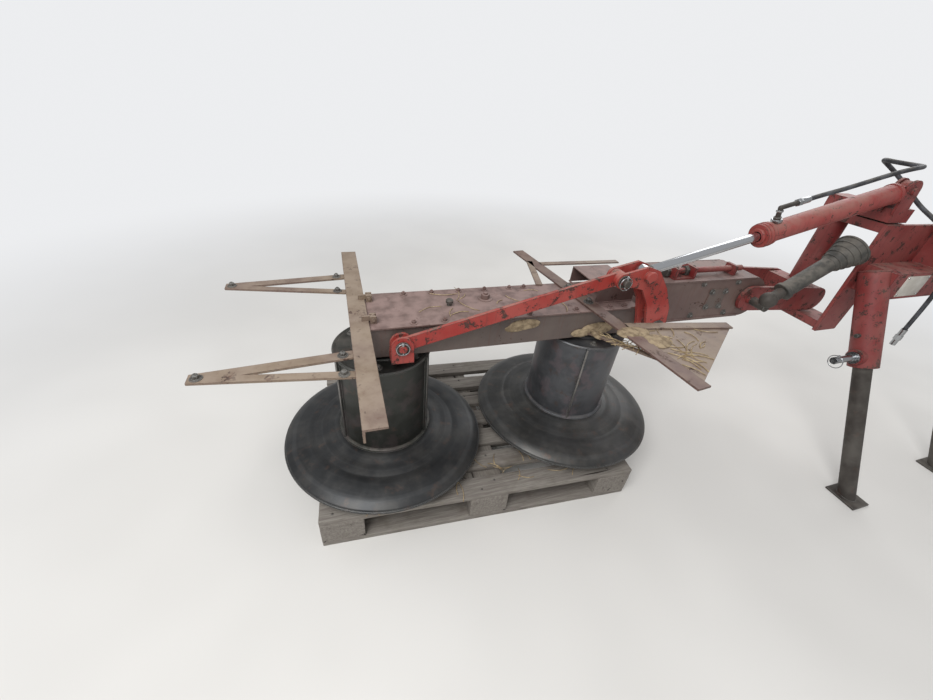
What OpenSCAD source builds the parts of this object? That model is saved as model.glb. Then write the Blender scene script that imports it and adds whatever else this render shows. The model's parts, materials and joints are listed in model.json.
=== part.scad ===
// Two-drum rotary mower for a tractor's three-point hitch, parked with its drums on a wooden pallet.
// Millimetres. X runs along the gear beam towards the hitch, Y towards the rear of the tractor's path, Z up.
// Measures are taken from the inner drum's axis at ground level and shifted to the footprint's middle.

/* [Drums] */
// Distance between the two drum axes
drum_pitch = 790; // [770:5:900]
// Outside diameter of a drum shell
drum_d = 324; // [280:2:360]
// Height of a drum shell
drum_h = 353; // [320:1:356]
// Wall of a drum shell
drum_wall = 4; // [3:0.5:8]
// Diameter of a knife disc at its rim
disc_d = 750; // [700:2:760]
// Height of a knife disc from rim to drum foot
disc_rise = 58; // [40:1:70]
// Sheet thickness of a knife disc
disc_t = 5; // [3:0.5:8]
// Height of the knife disc's rim above the pallet
rim_clear = 56; // [54:1:70]
// Crop ribs on each drum
rib_count = 3; // [1:1:6]
// How far a crop rib stands out of the shell
rib_out = 9; // [4:1:20]
// Width of a crop rib
rib_w = 8; // [4:1:20]
// Knives under each disc
knife_count = 3; // [2:1:4]
// Length of a knife
knife_l = 108; // [80:1:120]
// Width of a knife
knife_w = 46; // [36:1:60]
// Thickness of a knife
knife_t = 4; // [3:0.5:6]
// Diameter of a free-turning skid dish
skid_d = 450; // [380:5:520]
// Thickness of a skid dish
skid_t = 5; // [4:0.5:8]

/* [Gear beam] */
// Width of the gear case
beam_w = 216; // [190:2:240]
// Height of the gear case
beam_h = 105; // [90:1:130]
// Underside of the gear case above the ground
beam_z = 637; // [625:1:660]
// Thickness of the cover plate
cover_t = 5; // [3:0.5:10]
// How far the cover plate stands out of the case
cover_lip = 8; // [4:1:16]
// Place of the beam's hinge from the inner drum's axis
hinge_x = 185; // [175:1:220]
// Height of the beam's hinge
hinge_z = 690; // [680:1:700]
// Diameter of the beam's hinge pin
hinge_pin_d = 40; // [30:1:46]

/* [Lift linkage] */
// Fore-aft place of the stay, the rocker and the cylinder
linkage_y = -142; // [-160:1:-140]
// Thickness of the stay bar
stay_t = 12; // [8:1:16]
// Height of the stay bar
stay_h = 46; // [34:1:56]
// Thickness of a rocker cheek
cheek_t = 10; // [6:1:14]
// Clear width between the rocker cheeks
cheek_gap = 42; // [38:1:46]
// Diameter of the stay's and the cylinder's pins
link_pin_d = 25; // [18:1:30]
// Diameter of the cylinder's barrel
barrel_d = 70; // [60:1:80]
// Diameter of the piston rod
rod_d = 32; // [25:1:40]
// Length of the cylinder's barrel
barrel_l = 650; // [600:5:660]
// Height of the cylinder's pin on the column head
mast_pin_z = 1182; // [1160:1:1220]

/* [Side arm and belt guard] */
// Place of the lift axis from the inner drum's axis
lift_x = 740; // [700:5:780]
// Height of the lift axis
lift_z = 720; // [710:1:730]
// Width of the belt guard
guard_w = 190; // [170:2:210]
// Height of the belt guard
guard_h = 180; // [150:2:200]
// Sheet thickness of the belt guard
guard_t = 4; // [2:0.5:6]
// Place of the vertical swing axis from the inner drum's axis
swing_x = 1180; // [1150:5:1220]
// Diameter of the lift pin
lift_pin_d = 40; // [30:1:50]

/* [Hitch] */
// Distance between the hitch frame's leg axes
hitch_w = 660; // [600:10:720]
// Outside size of the hitch frame's cross tube
cross_s = 110; // [90:2:120]
// Outside diameter of a hitch leg tube
leg_d = 100; // [90:2:110]
// Forward lean of the hitch legs from upright
leg_lean = 26; // [15:1:30]
// Diameter of the lower-link pins
lower_pin_d = 28; // [22:1:37]
// Free length of the lower-link pins
lower_pin_l = 125; // [100:5:140]
// Diameter of the top-link holes
top_hole_d = 25; // [19:0.5:32]
// Outside diameter of a stand leg
stand_d = 62; // [50:1:70]
// Thickness of a stand foot
foot_t = 8; // [6:1:12]

/* [Guard frames] */
// Length of a fore-aft guard bar
bar_l = 1015; // [900:5:1100]
// Width of a guard bar
bar_w = 50; // [40:1:60]
// Thickness of the guard bars
bar_t = 6; // [4:1:8]
// Reach of the outer guard's arms beyond its bar
arm_reach = 390; // [300:5:450]

/* [Pallet] */
// Length of the pallet
pallet_l = 1200; // [1200:5:1300]
// Width of the pallet
pallet_w = 800; // [780:5:900]
// Thickness of a pallet board
board_t = 22; // [18:1:25]
// Height of a pallet block
block_h = 78; // [70:1:90]

/* [Hidden] */
$fn = 64;

// Clearances: running fit, seat at rest and free air
fit = 0.1;
seat = 0.3;
air = 5;

// Heights of the drum stack
pallet_h = 3 * board_t + block_h;
skid_z = pallet_h + seat;
rim_z = pallet_h + rim_clear;
foot_z = rim_z + disc_rise;
drum_top = foot_z + drum_h;
spindle_r = 25;
stub_r = 20;
outer_x = -drum_pitch;

// Gear beam
beam_top = beam_z + beam_h;
cover_top = beam_top + cover_t;
beam_end = 140;
beam_start = outer_x - 82;
corner_r = 40;
ear_t = 20;
ear_r = 36;

// Stay and cylinder pins in the plane of the linkage
bracket_pin = [outer_x + 45, 700];
stay_pin = [-25, 885];
eye_pin = [67, 900];
mast_pin = [1140, mast_pin_z];
cyl_angle = atan2(mast_pin[1] - eye_pin[1], mast_pin[0] - eye_pin[0]);
cyl_len = norm(mast_pin - eye_pin);

// Belt guard and side arm
guard_y0 = -60;
guard_y1 = guard_y0 + guard_w;
guard_z0 = lift_z - guard_h / 2;
guard_z1 = lift_z + guard_h / 2;
guard_x0 = hinge_x + ear_r + 9;
guard_mid = (guard_y0 + guard_y1) / 2;
swing_y = guard_mid;
cheek_y0 = guard_y0 - air;
cheek_y1 = guard_y1 + air;
side_t = 15;
column_r = 45;
shaft_r = 25;
column_z0 = 625;
column_z1 = 1025;
lug_t = 35;
head_z = column_z1 + lug_t + 6;

// Hitch frame
cross_y0 = -290;
cross_y1 = cross_y0 + cross_s;
cross_z0 = 795;
leg_x = [1150, 1150 + hitch_w];
hitch_mid = 1150 + hitch_w / 2;
leg_top = [(cross_y0 + cross_y1) / 2, cross_z0 + cross_s / 2];
leg_len = 350;
leg_dir = [-sin(leg_lean), -cos(leg_lean)];
spine_y1 = cross_y1 + 15;
boss_out = 14;
pin_rise = 45;
stand_hold = 100;
foot_l = 120;

// Guard frames lie on the beam's cover
bar_z = cover_top + seat;
flange_h = 40;
outer_bar_x = beam_start - cover_lip - air;

// The footprint's middle
x_min = outer_bar_x - arm_reach;
x_max = leg_x[1] + leg_d / 2 + boss_out + lower_pin_l;
y_max = bar_l / 2 - 15;
foot_run = leg_top[1] * tan(leg_lean);
y_min = leg_top[0] - foot_run - foot_l / 2;
mid_x = (x_min + x_max) / 2;
mid_y = (y_min + y_max) / 2;

// Finishes
rust_red = "firebrick";
dust_brown = "rosybrown";
worn_steel = "dimgray";
bright_steel = "silver";
old_wood = "burlywood";
black_rubber = "black";

module shifted() translate([-mid_x, -mid_y, 0]) children();

module tube_y(r, y0, y1) translate([0, y0, 0]) rotate([-90, 0, 0]) cylinder(r = r, h = y1 - y0);

module flat_bar_xz(a, b, h, y0, y1) {
    // A straight bar with round ends between two points of the X-Z plane
    ang = atan2(b[1] - a[1], b[0] - a[0]);
    translate([a[0], y1, a[1]]) rotate([90, -ang, 0]) linear_extrude(y1 - y0) {
        translate([0, -h / 2]) square([norm(b - a), h]);
        circle(d = h);
        translate([norm(b - a), 0]) circle(d = h);
    }
}

module flat_bar_xy(a, b, w, z, t) {
    // A straight flat bar with square ends between two points of the X-Y plane
    ang = atan2(b[1] - a[1], b[0] - a[0]);
    translate([a[0], a[1], z]) rotate([0, 0, ang]) translate([0, -w / 2, 0]) cube([norm(b - a), w, t]);
}

// Pallet

// Deck boards: offset across the pallet and width
deck_boards = [[0, 145], [186, 100], [327.5, 145], [514, 100], [655, 145]];
// Bottom boards and block rows: offset across the pallet and width
foot_rows = [[0, 100], [327.5, 145], [700, 100]];
block_l = 145;

module on_pallet() translate([-435, 50, 0]) rotate([0, 0, -3]) translate([-pallet_l / 2, -pallet_w / 2, 0]) children();

module pallet_boards() shifted() color(old_wood) on_pallet() {
    scale_w = pallet_w / 800;
    for (b = deck_boards) translate([0, b[0] * scale_w, pallet_h - board_t]) cube([pallet_l, b[1] * scale_w, board_t]);
    for (i = [0 : 2]) translate([i * (pallet_l - block_l) / 2, 0, pallet_h - 2 * board_t]) cube([block_l, pallet_w, board_t]);
    for (b = foot_rows) translate([0, b[0] * scale_w, 0]) cube([pallet_l, b[1] * scale_w, board_t]);
}

module pallet_blocks() shifted() color(old_wood) on_pallet() {
    scale_w = pallet_w / 800;
    for (i = [0 : 2]) for (b = foot_rows)
        translate([i * (pallet_l - block_l) / 2, b[0] * scale_w, board_t]) cube([block_l, b[1] * scale_w, block_h]);
}

// Drum with its disc, knives and skid

module drum_shell() {
    difference() {
        linear_extrude(drum_h) {
            circle(d = drum_d);
            for (i = [0 : rib_count - 1]) rotate([0, 0, 60 + i * 360 / rib_count])
                translate([drum_d / 2 - 2, -rib_w / 2]) square([rib_out + 2, rib_w]);
        }
        translate([0, 0, -1]) cylinder(d = drum_d - 2 * drum_wall, h = drum_h - 5);
        cylinder(r = 62 + air, h = drum_h + 1);
    }
}

// Disc section: share of the way from drum foot to rim, and share of the rise
disc_line = [[0, 1], [0.13, 0.97], [0.25, 0.81], [0.65, 0.62], [0.88, 0.38], [0.98, 0.14], [1, 0]];
knife_r = disc_d / 2 - 62;
pin_head_z = -3;
// Angles of the first crop rib on each drum
outer_ribs = -96;
inner_ribs = -53;

module knife_disc() {
    rim_r = disc_d / 2;
    foot_r = drum_d / 2;
    top = [for (p = disc_line) [foot_r + p[0] * (rim_r - foot_r), p[1] * disc_rise]];
    low = [for (i = [len(disc_line) - 1 : -1 : 0]) top[i] - [i == len(disc_line) - 1 ? disc_t : 0, i == len(disc_line) - 1 ? 0 : disc_t]];
    rotate_extrude($fn = 96) polygon(concat([[0, disc_rise]], top, low, [[0, disc_rise - disc_t]]));
    translate([0, 0, -8]) cylinder(r = 62, h = disc_rise);
    cylinder(r = spindle_r, h = beam_z - rim_z - air);
    translate([0, 0, skid_z + 8 - rim_z]) cylinder(r = stub_r, h = rim_z - skid_z);
    for (i = [0 : knife_count - 1]) rotate([0, 0, 40 + i * 360 / knife_count]) translate([knife_r, 0, pin_head_z]) {
        cylinder(r = 15, h = 4);
        cylinder(r = 8, h = disc_rise * 0.6);
    }
}

module knife_set() {
    for (i = [0 : knife_count - 1]) rotate([0, 0, 40 + i * 360 / knife_count])
        translate([knife_r, 0, pin_head_z + 4 + seat]) linear_extrude(knife_t) difference() {
            translate([-knife_w / 2, -knife_w / 2]) square([knife_w, knife_l]);
            circle(r = 8 + fit);
        }
}

module skid_dish() {
    r = skid_d / 2;
    difference() {
        union() {
            rotate_extrude($fn = 96) polygon([[0, 0], [r * 0.62, 0], [r * 0.9, 9], [r, 24], [r - 3, 24 + skid_t],
                [r * 0.88, 9 + skid_t], [r * 0.6, skid_t], [0, skid_t]]);
            cylinder(r = 55, h = 34);
        }
        translate([0, 0, 7]) cylinder(r = stub_r + fit, h = 60);
    }
}

module drum_outer() shifted() color(worn_steel) translate([outer_x, 0, foot_z]) rotate([0, 0, outer_ribs]) drum_shell();
module drum_inner() shifted() color(worn_steel) translate([0, 0, foot_z]) rotate([0, 0, inner_ribs]) drum_shell();
module disc_outer() shifted() color(worn_steel) translate([outer_x, 0, rim_z]) knife_disc();
module disc_inner() shifted() color(worn_steel) translate([0, 0, rim_z]) knife_disc();
module knives_outer() shifted() color(worn_steel) translate([outer_x, 0, rim_z]) knife_set();
module knives_inner() shifted() color(worn_steel) translate([0, 0, rim_z]) knife_set();
module skid_outer() shifted() color(worn_steel) translate([outer_x, 0, skid_z]) skid_dish();
module skid_inner() shifted() color(worn_steel) translate([0, 0, skid_z]) skid_dish();

// Gear beam

module beam_outline(lip) {
    r = corner_r + lip;
    x0 = beam_start - lip + r;
    half = beam_w / 2 + lip;
    translate([x0, -half]) square([beam_end - x0, 2 * half]);
    translate([x0 - r, r - half]) square([2 * r, 2 * (half - r)]);
    for (side = [-1, 1]) translate([x0, side * (half - r)]) circle(r = r);
}

module gear_case() shifted() color(dust_brown) difference() {
    union() {
        translate([0, 0, beam_z]) linear_extrude(beam_h) beam_outline(0);
        for (s = [-1, 1]) flat_bar_xz([beam_end - 40, hinge_z], [hinge_x, hinge_z], 2 * ear_r,
            s > 0 ? beam_w / 2 - ear_t : -beam_w / 2, s > 0 ? beam_w / 2 : -beam_w / 2 + ear_t);
    }
    translate([hinge_x, 0, hinge_z]) tube_y(hinge_pin_d / 2 + fit, -beam_w, beam_w);
    for (x = [outer_x, 0]) translate([x, 0, beam_z - 1]) cylinder(r = 62 + fit, h = 13);
}

module beam_cover() shifted() color(dust_brown) translate([0, 0, beam_top]) linear_extrude(cover_t) difference() {
    beam_outline(cover_lip);
    // The lip stops short of the ears and the rocker
    for (side = [-1, 1]) translate([hinge_x - 85, side > 0 ? beam_w / 2 : -beam_w]) square([beam_w, beam_w / 2]);
}

module input_hood() shifted() color(dust_brown) difference() {
    translate([-20, guard_y0, cover_top]) cube([160, guard_w, guard_z1 - cover_top]);
    translate([-21, guard_y0 + guard_t, cover_top - 1]) cube([161 - guard_t, guard_w - 2 * guard_t, guard_z1 - cover_top + 1 - guard_t]);
}

module beam_hubs() shifted() color(worn_steel) for (x = [outer_x, 0]) translate([x, 0, 0]) difference() {
    translate([0, 0, drum_top - 25]) cylinder(r = 62, h = beam_z + 12 - drum_top + 25);
    translate([0, 0, drum_top - 26]) cylinder(r = spindle_r + fit, h = beam_z - drum_top + 26 + 1);
}

// Stay, rocker and bracket in the plane of the linkage

module stay_bracket() shifted() color(rust_red) {
    y_in = linkage_y + stay_t / 2 + 2;
    y_out = linkage_y - stay_t / 2 - 2;
    difference() {
        union() {
            flat_bar_xz([bracket_pin[0], beam_z + 40], bracket_pin, 70, y_in, y_in + 10);
            flat_bar_xz([bracket_pin[0], beam_z + 40], bracket_pin, 70, y_out - 10, y_out);
            translate([bracket_pin[0] - 35, y_out - 10, beam_z + 5]) cube([70, -beam_w / 2 - y_out + 10, 30]);
        }
        translate([bracket_pin[0], 0, bracket_pin[1]]) tube_y(link_pin_d / 2 + fit, -300, 0);
    }
}

stay_eye = [linkage_y - cheek_gap / 2 + seat, linkage_y + cheek_gap / 2 - seat];

module stay_bar() shifted() color(rust_red) {
    difference() {
        union() {
            flat_bar_xz(bracket_pin, stay_pin, stay_h, linkage_y - stay_t / 2, linkage_y + stay_t / 2);
            translate([stay_pin[0], 0, stay_pin[1]]) tube_y(stay_h / 2 + 2, stay_eye[0], stay_eye[1]);
        }
        translate([stay_pin[0], 0, stay_pin[1]]) tube_y(link_pin_d / 2 + fit, stay_eye[0] - 1, stay_eye[1] + 1);
    }
    translate([bracket_pin[0], 0, bracket_pin[1]]) tube_y(link_pin_d / 2, linkage_y - 30, linkage_y + 22);
}

module rocker_profile() {
    // A hooked plate: along the top from the stay's pin, then down to the hinge pin
    polygon([[-25, 858], [20, 862], [62, 850], [105, 790], [140, 690], [230, 690], [212, 770],
        [165, 850], [110, 915], [60, 932], [-25, 912]]);
    translate(stay_pin) circle(r = 27);
    translate([hinge_x, hinge_z]) circle(r = 45);
}

module rocker() shifted() color(rust_red) {
    y0 = linkage_y - cheek_gap / 2 - cheek_t;
    difference() {
        for (y = [y0, linkage_y + cheek_gap / 2]) translate([0, y + cheek_t, 0]) rotate([90, 0, 0])
            linear_extrude(cheek_t) rocker_profile();
        translate([hinge_x, 0, hinge_z]) tube_y(hinge_pin_d / 2 + fit, -300, 0);
    }
    translate([stay_pin[0], 0, stay_pin[1]]) tube_y(link_pin_d / 2, y0 - 8, linkage_y + cheek_gap / 2 + cheek_t + 8);
    translate([eye_pin[0], 0, eye_pin[1]]) for (y = [[y0 - 12, y0 + 1], [linkage_y + cheek_gap / 2 + cheek_t - 1, linkage_y + cheek_gap / 2 + cheek_t + 10]])
        tube_y(17, y[0], y[1]);
    translate([150, y0 + 1, 740]) cube([40, cheek_gap + 2 * cheek_t - 2, 12]);
}

// Inner guard frame: a bar across the beam, with rods and a plate beside it in the same plane

inner_a = [-112, 450];
inner_b = [8, -560];

// Rods beside the inner bar: start, end and width
guard_rods = [
    [[-40, -250], [390, -250], 28],
    [[-100, 300], [320, 290], 28],
    [[-190, -104], [0, -520], 26],
    [[-170, 104], [-100, 350], 26]
];

module inner_guard_bar() shifted() color(dust_brown) {
    flat_bar_xy(inner_b, inner_a, bar_w, bar_z, bar_t);
}

module inner_guard_rods() shifted() color(dust_brown) difference() {
    for (r = guard_rods) flat_bar_xy(r[0], r[1], r[2], bar_z, bar_t);
    flat_bar_xy(inner_b, inner_a, bar_w, bar_z - 1, bar_t + 2);
}

module deflector_plate() shifted() color(dust_brown) translate([0, 0, bar_z - 4]) linear_extrude(4)
    polygon([[-26, -240], [385, -262], [4, -548]]);

// Outer guard frame, hinged on the end of the beam

hinge_up = 14;
guard_hinge = [outer_bar_x + bar_w + hinge_up, cover_top + hinge_up];
guard_pin_d = 12;
lug_w = 8;
// Places of the guard's lug pairs across the beam
lug_rows = [-70, 70];

module outer_guard_bar() shifted() color(dust_brown) {
    y0 = -bar_l / 2 - 15;
    translate([outer_bar_x, y0, bar_z]) cube([bar_w, bar_l, bar_t]);
    translate([outer_bar_x - bar_t, y0, bar_z + bar_t - flange_h]) cube([bar_t, bar_l, flange_h]);
    for (y = lug_rows) {
        difference() {
            union() {
                translate([guard_hinge[0], 0, guard_hinge[1]]) tube_y(10, y - lug_w / 2, y + lug_w / 2);
                translate([outer_bar_x + bar_w - 20, y - lug_w / 2, bar_z + bar_t])
                    cube([20 + hinge_up, lug_w, guard_hinge[1] + 8 - bar_z - bar_t]);
            }
            translate([guard_hinge[0], 0, guard_hinge[1]]) tube_y(guard_pin_d / 2 + fit, y - lug_w, y + lug_w);
        }
    }
}

module guard_lugs() shifted() color(dust_brown) for (y = lug_rows) {
    for (side = [-1, 1]) translate([guard_hinge[0] - 10, y + side * (lug_w + 1) - lug_w / 2, cover_top])
        cube([20, lug_w, hinge_up + 10]);
    translate([guard_hinge[0], 0, guard_hinge[1]]) tube_y(guard_pin_d / 2, y - 1.5 * lug_w - 6, y + 1.5 * lug_w + 6);
}

// Outer V arms: tip across, then the wide and the narrow bar's root
guard_arms = [[240, 280, 150], [-262, -222, -316]];

module outer_guard_arms() shifted() color(dust_brown) {
    root = outer_bar_x - bar_t;
    tip = outer_bar_x - arm_reach;
    intersection() {
        for (a = guard_arms) {
            flat_bar_xy([root + 20, a[1]], [tip - 20, a[0]], 34, bar_z - 10, bar_t);
            flat_bar_xy([root + 20, a[2]], [tip - 20, a[0]], 26, bar_z - 10, bar_t);
        }
        translate([tip, -bar_l, 0]) cube([root - tip, 2 * bar_l, 2 * bar_z]);
    }
}

// Belt guard arm between the beam's hinge and the lift axis

module arm_tube() shifted() color(dust_brown) difference() {
    union() {
        translate([guard_x0, -55, guard_z0 + 12]) cube([lift_x - guard_x0, 110, 80]);
        translate([hinge_x, 0, hinge_z]) tube_y(ear_r, -beam_w / 2 + ear_t + 3, beam_w / 2 - ear_t - 3);
        translate([hinge_x, -50, hinge_z - 25]) cube([guard_x0 - hinge_x + 5, 100, 50]);
        translate([lift_x, 0, lift_z]) tube_y(55, guard_y0 + guard_t, guard_y1 - guard_t);
    }
    translate([hinge_x, 0, hinge_z]) tube_y(hinge_pin_d / 2, -beam_w, beam_w);
    translate([lift_x, 0, lift_z]) tube_y(lift_pin_d / 2 + fit, -300, 300);
    translate([guard_x0 + 10, -48, guard_z0 + 19]) cube([lift_x - guard_x0 - 70, 96, 66]);
}

module arm_pin() shifted() color(bright_steel) translate([hinge_x, 0, hinge_z])
    tube_y(hinge_pin_d / 2, linkage_y - cheek_gap / 2 - cheek_t - 12, beam_w / 2 + 12);

module belt_guard() shifted() color(dust_brown) difference() {
    translate([0, guard_y1, 0]) rotate([90, 0, 0]) linear_extrude(guard_w) {
        translate([guard_x0, guard_z0]) square([lift_x - guard_x0, guard_h]);
        translate([lift_x, lift_z]) circle(d = guard_h, $fn = 96);
    }
    translate([0, guard_y1 - guard_t, 0]) rotate([90, 0, 0]) linear_extrude(guard_w - 2 * guard_t) {
        translate([guard_x0 + guard_t, guard_z0 - 1]) square([lift_x - guard_x0 - guard_t, guard_h + 1 - guard_t]);
        translate([lift_x, lift_z]) circle(d = guard_h - 2 * guard_t, $fn = 96);
    }
    translate([lift_x, 0, lift_z]) tube_y(lift_pin_d / 2 + fit, -300, 300);
    translate([guard_x0 - 1, -56, guard_z0 + 11]) cube([20, 112, 82]);
}

module tensioner() shifted() color(rust_red) {
    z = guard_z1 + 22;
    translate([330, -40, guard_z1]) cube([10, 70, 44]);
    translate([420, -40, guard_z1]) cube([10, 70, 44]);
    translate([340, -40, guard_z1]) cube([80, 70, 6]);
    translate([320, -5, z]) rotate([0, 90, 0]) cylinder(d = 24, h = 380);
    translate([640, -30, guard_z1]) cube([14, 50, 40]);
}

// Side arm and swing column

module swing_column() shifted() color(rust_red) {
    translate([swing_x, swing_y, column_z0]) cylinder(r = column_r, h = column_z1 - column_z0);
    translate([swing_x, swing_y, column_z0 - lug_t - 12]) cylinder(r = shaft_r, h = head_z + shaft_in - column_z0 + lug_t + 12);
}

module side_arm() shifted() color(rust_red) difference() {
    union() {
        for (y = [cheek_y0 - side_t, cheek_y1]) {
            flat_bar_xz([lift_x, lift_z], [swing_x - 20, 690], 110, y, y + side_t);
        }
        translate([swing_x - column_r - 40, cheek_y0, 640]) cube([column_r + 40, cheek_y1 - cheek_y0, 100]);
        translate([lift_x, 0, lift_z]) tube_y(lift_pin_d / 2, cheek_y0 - side_t - 14, cheek_y1 + side_t + 14);
    }
    translate([swing_x, swing_y, column_z0 - 1]) cylinder(r = column_r, h = column_z1 - column_z0 + 2);
}

ear_gap = 32;
head_t = 50;
shaft_in = 40;

module column_head() shifted() color(rust_red) {
    difference() {
        union() {
            translate([swing_x - 60, linkage_y - 26, head_z]) cube([110, swing_y + column_r - linkage_y + 26, head_t]);
            for (y = [linkage_y - ear_gap / 2 - 10, linkage_y + ear_gap / 2])
                flat_bar_xz([mast_pin[0] + 10, head_z + head_t], mast_pin, 76, y, y + 10);
            translate([mast_pin[0], 0, mast_pin[1]])
                tube_y(link_pin_d / 2, linkage_y - ear_gap / 2 - 20, linkage_y + ear_gap / 2 + 20);
        }
        translate([swing_x, swing_y, head_z - 1]) cylinder(r = shaft_r, h = shaft_in + 1);
    }
}

// Hitch frame, mast and pins

module leg_frame(x) translate([x, leg_top[0], leg_top[1]]) rotate([-leg_lean, 0, 0]) children();

// Centre of a lower-link pin below the leg's top: across and up
pin_at = leg_top + (leg_len - pin_rise) * leg_dir;

module hitch_frame() shifted() color(rust_red) difference() {
    union() {
        translate([leg_x[0], cross_y0, cross_z0]) cube([hitch_w, cross_s, cross_s]);
        for (x = leg_x) leg_frame(x) translate([0, 0, -leg_len]) cylinder(d = leg_d, h = leg_len + 40);
        for (side = [0, 1]) translate([leg_x[side], pin_at[0], pin_at[1]]) rotate([0, side * 180 - 90, 0])
            cylinder(d = lower_pin_d + 36, h = leg_d / 2 + boss_out);
    }
    for (x = leg_x) leg_frame(x) translate([0, 0, -leg_len - 1]) cylinder(d = stand_d + 2 * seat, h = leg_len - 60);
    translate([leg_x[0] - leg_d, cross_y1, cross_z0 - leg_d]) cube([hitch_w + 2 * leg_d, leg_d, cross_s + 2 * leg_d]);
}

module mast() shifted() color(rust_red) {
    difference() {
        union() {
            // Spine plate behind the cross tube
            translate([0, spine_y1, 0]) rotate([90, 0, 0]) linear_extrude(spine_y1 - cross_y1)
                polygon([[1110, 585], [1240, 585], [1260, 790], [1560, 790], [1560, 1000], [1420, 1060], [1110, 1060]]);
            // Lugs that hold the swing column
            for (z = [column_z0 - lug_t, column_z1 + seat]) {
                translate([swing_x - 55, cross_y1, z]) cube([110, swing_y - cross_y1, lug_t - seat]);
                translate([swing_x, swing_y, z]) cylinder(r = 55, h = lug_t - seat);
            }
            // Ears for the top link
            for (s = [-1, 1]) translate([hitch_mid + s * 45 - 6, cross_y0 - 60, cross_z0 + cross_s]) cube([12, 190, 175]);
            translate([hitch_mid - 39, cross_y1 - 20, cross_z0 + cross_s]) cube([78, 20, 120]);
        }
        for (z = [column_z0 - lug_t, column_z1]) translate([swing_x, swing_y, z - 1]) cylinder(r = shaft_r + fit, h = lug_t + 2);
        translate([hitch_mid - 100, cross_y0 - 20, cross_z0 + cross_s + 135]) rotate([0, 90, 0]) cylinder(d = top_hole_d, h = 200);
    }
}

module lower_link_pins() shifted() color(bright_steel) {
    for (side = [0, 1]) translate([leg_x[side], pin_at[0], pin_at[1]]) rotate([0, side * 180 - 90, 0])
        translate([0, 0, leg_d / 2 + boss_out]) {
            cylinder(d = lower_pin_d, h = lower_pin_l);
            cylinder(d = lower_pin_d + 22, h = 12);
        }
}

// Telescoping stand legs, cut to the foot's slope

module stand_leg(x) leg_frame(x) {
    reach = leg_top[1] / cos(leg_lean);
    difference() {
        translate([0, 0, -reach - stand_d]) cylinder(d = stand_d, h = reach + stand_d - leg_len + stand_hold);
        rotate([leg_lean, 0, 0]) translate([-leg_d, -foot_run - leg_len, foot_t / 2 - leg_top[1] - leg_len])
            cube([2 * leg_d, 2 * leg_len, leg_len]);
    }
    rotate([leg_lean, 0, 0]) translate([-50, -foot_run - foot_l / 2, -leg_top[1]]) cube([100, foot_l, foot_t]);
}

module stand_leg_left() shifted() color(worn_steel) stand_leg(leg_x[0]);
module stand_leg_right() shifted() color(worn_steel) stand_leg(leg_x[1]);

// Lift cylinder
gland_l = 38;
neck_l = 60;
rod_in = 150;
port_x = 60;
port_d = 24;
port_sink = 4;
pipe_rise = 50;
pipe_l = 90;
pipe_d = 16;

module along_cylinder() translate([eye_pin[0], linkage_y, eye_pin[1]]) rotate([0, -cyl_angle, 0]) children();

module cylinder_barrel() shifted() color(rust_red) along_cylinder() difference() {
    union() {
        translate([cyl_len - barrel_l, 0, 0]) rotate([0, 90, 0]) cylinder(d = barrel_d, h = barrel_l - neck_l);
        translate([cyl_len - barrel_l, 0, 0]) rotate([0, 90, 0]) cylinder(d = barrel_d + 12, h = gland_l);
        translate([cyl_len, 0, 0]) tube_y(32, -13, 13);
        translate([cyl_len - neck_l - 5, -13, -22]) cube([neck_l - 10, 26, 44]);
    }
    translate([cyl_len - barrel_l + port_x, 0, barrel_d / 2 - port_sink]) cylinder(d = port_d, h = barrel_d);
    translate([cyl_len, 0, 0]) tube_y(link_pin_d / 2 + fit, -30, 30);
    translate([cyl_len - barrel_l - 1, 0, 0]) rotate([0, 90, 0]) cylinder(d = rod_d + 2 * fit, h = barrel_l - neck_l - 15);
}

module cylinder_rod() shifted() color(bright_steel) along_cylinder() {
    rotate([0, 90, 0]) cylinder(d = rod_d, h = cyl_len - barrel_l + rod_in);
    tube_y(26, -rod_d / 2, rod_d / 2);
}

module port_pipe() shifted() color(worn_steel) along_cylinder()
    translate([cyl_len - barrel_l + port_x, 0, barrel_d / 2 - port_sink]) {
        cylinder(d = port_d, h = 22);
        cylinder(d = pipe_d, h = pipe_rise + port_sink);
        translate([0, 0, pipe_rise + port_sink]) sphere(d = pipe_d);
        translate([0, 0, pipe_rise + port_sink]) rotate([0, 90, 0]) cylinder(d = pipe_d, h = pipe_l);
    }

// Drive shaft laid up against the hitch

pto_a = [740, -150, 752];
pto_b = [1055, -150, 955];
pto_v = pto_b - pto_a;
pto_len = norm(pto_v);

module along_pto() translate(pto_a) rotate([0, 90 - atan2(pto_v[2], norm([pto_v[0], pto_v[1]])), atan2(pto_v[1], pto_v[0])]) children();

module pto_guard() shifted() color(black_rubber) along_pto() difference() {
    union() {
        translate([0, 0, 60]) cylinder(d = 62, h = pto_len - 130);
        translate([0, 0, pto_len - 110]) cylinder(d1 = 64, d2 = 130, h = 110);
    }
    translate([0, 0, 59]) cylinder(d = 44, h = pto_len - 100);
    translate([0, 0, pto_len - 100]) cylinder(d1 = 44, d2 = 122, h = 101);
}

module pto_yoke() shifted() color(worn_steel) {
    along_pto() {
        translate([0, 0, 20]) cylinder(d = 43.4, h = pto_len - 70);
        translate([0, 0, pto_len - 60]) cylinder(d = 56, h = 50);
    }
    translate([lift_x, 0, lift_z]) tube_y(18, pto_a[1] - 10, cheek_y0 - side_t - 14);
    translate(pto_a) sphere(r = 32);
}

// Hoses: one rides on the cylinder and turns level over its pin, the next goes on from there to the coupler

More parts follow.
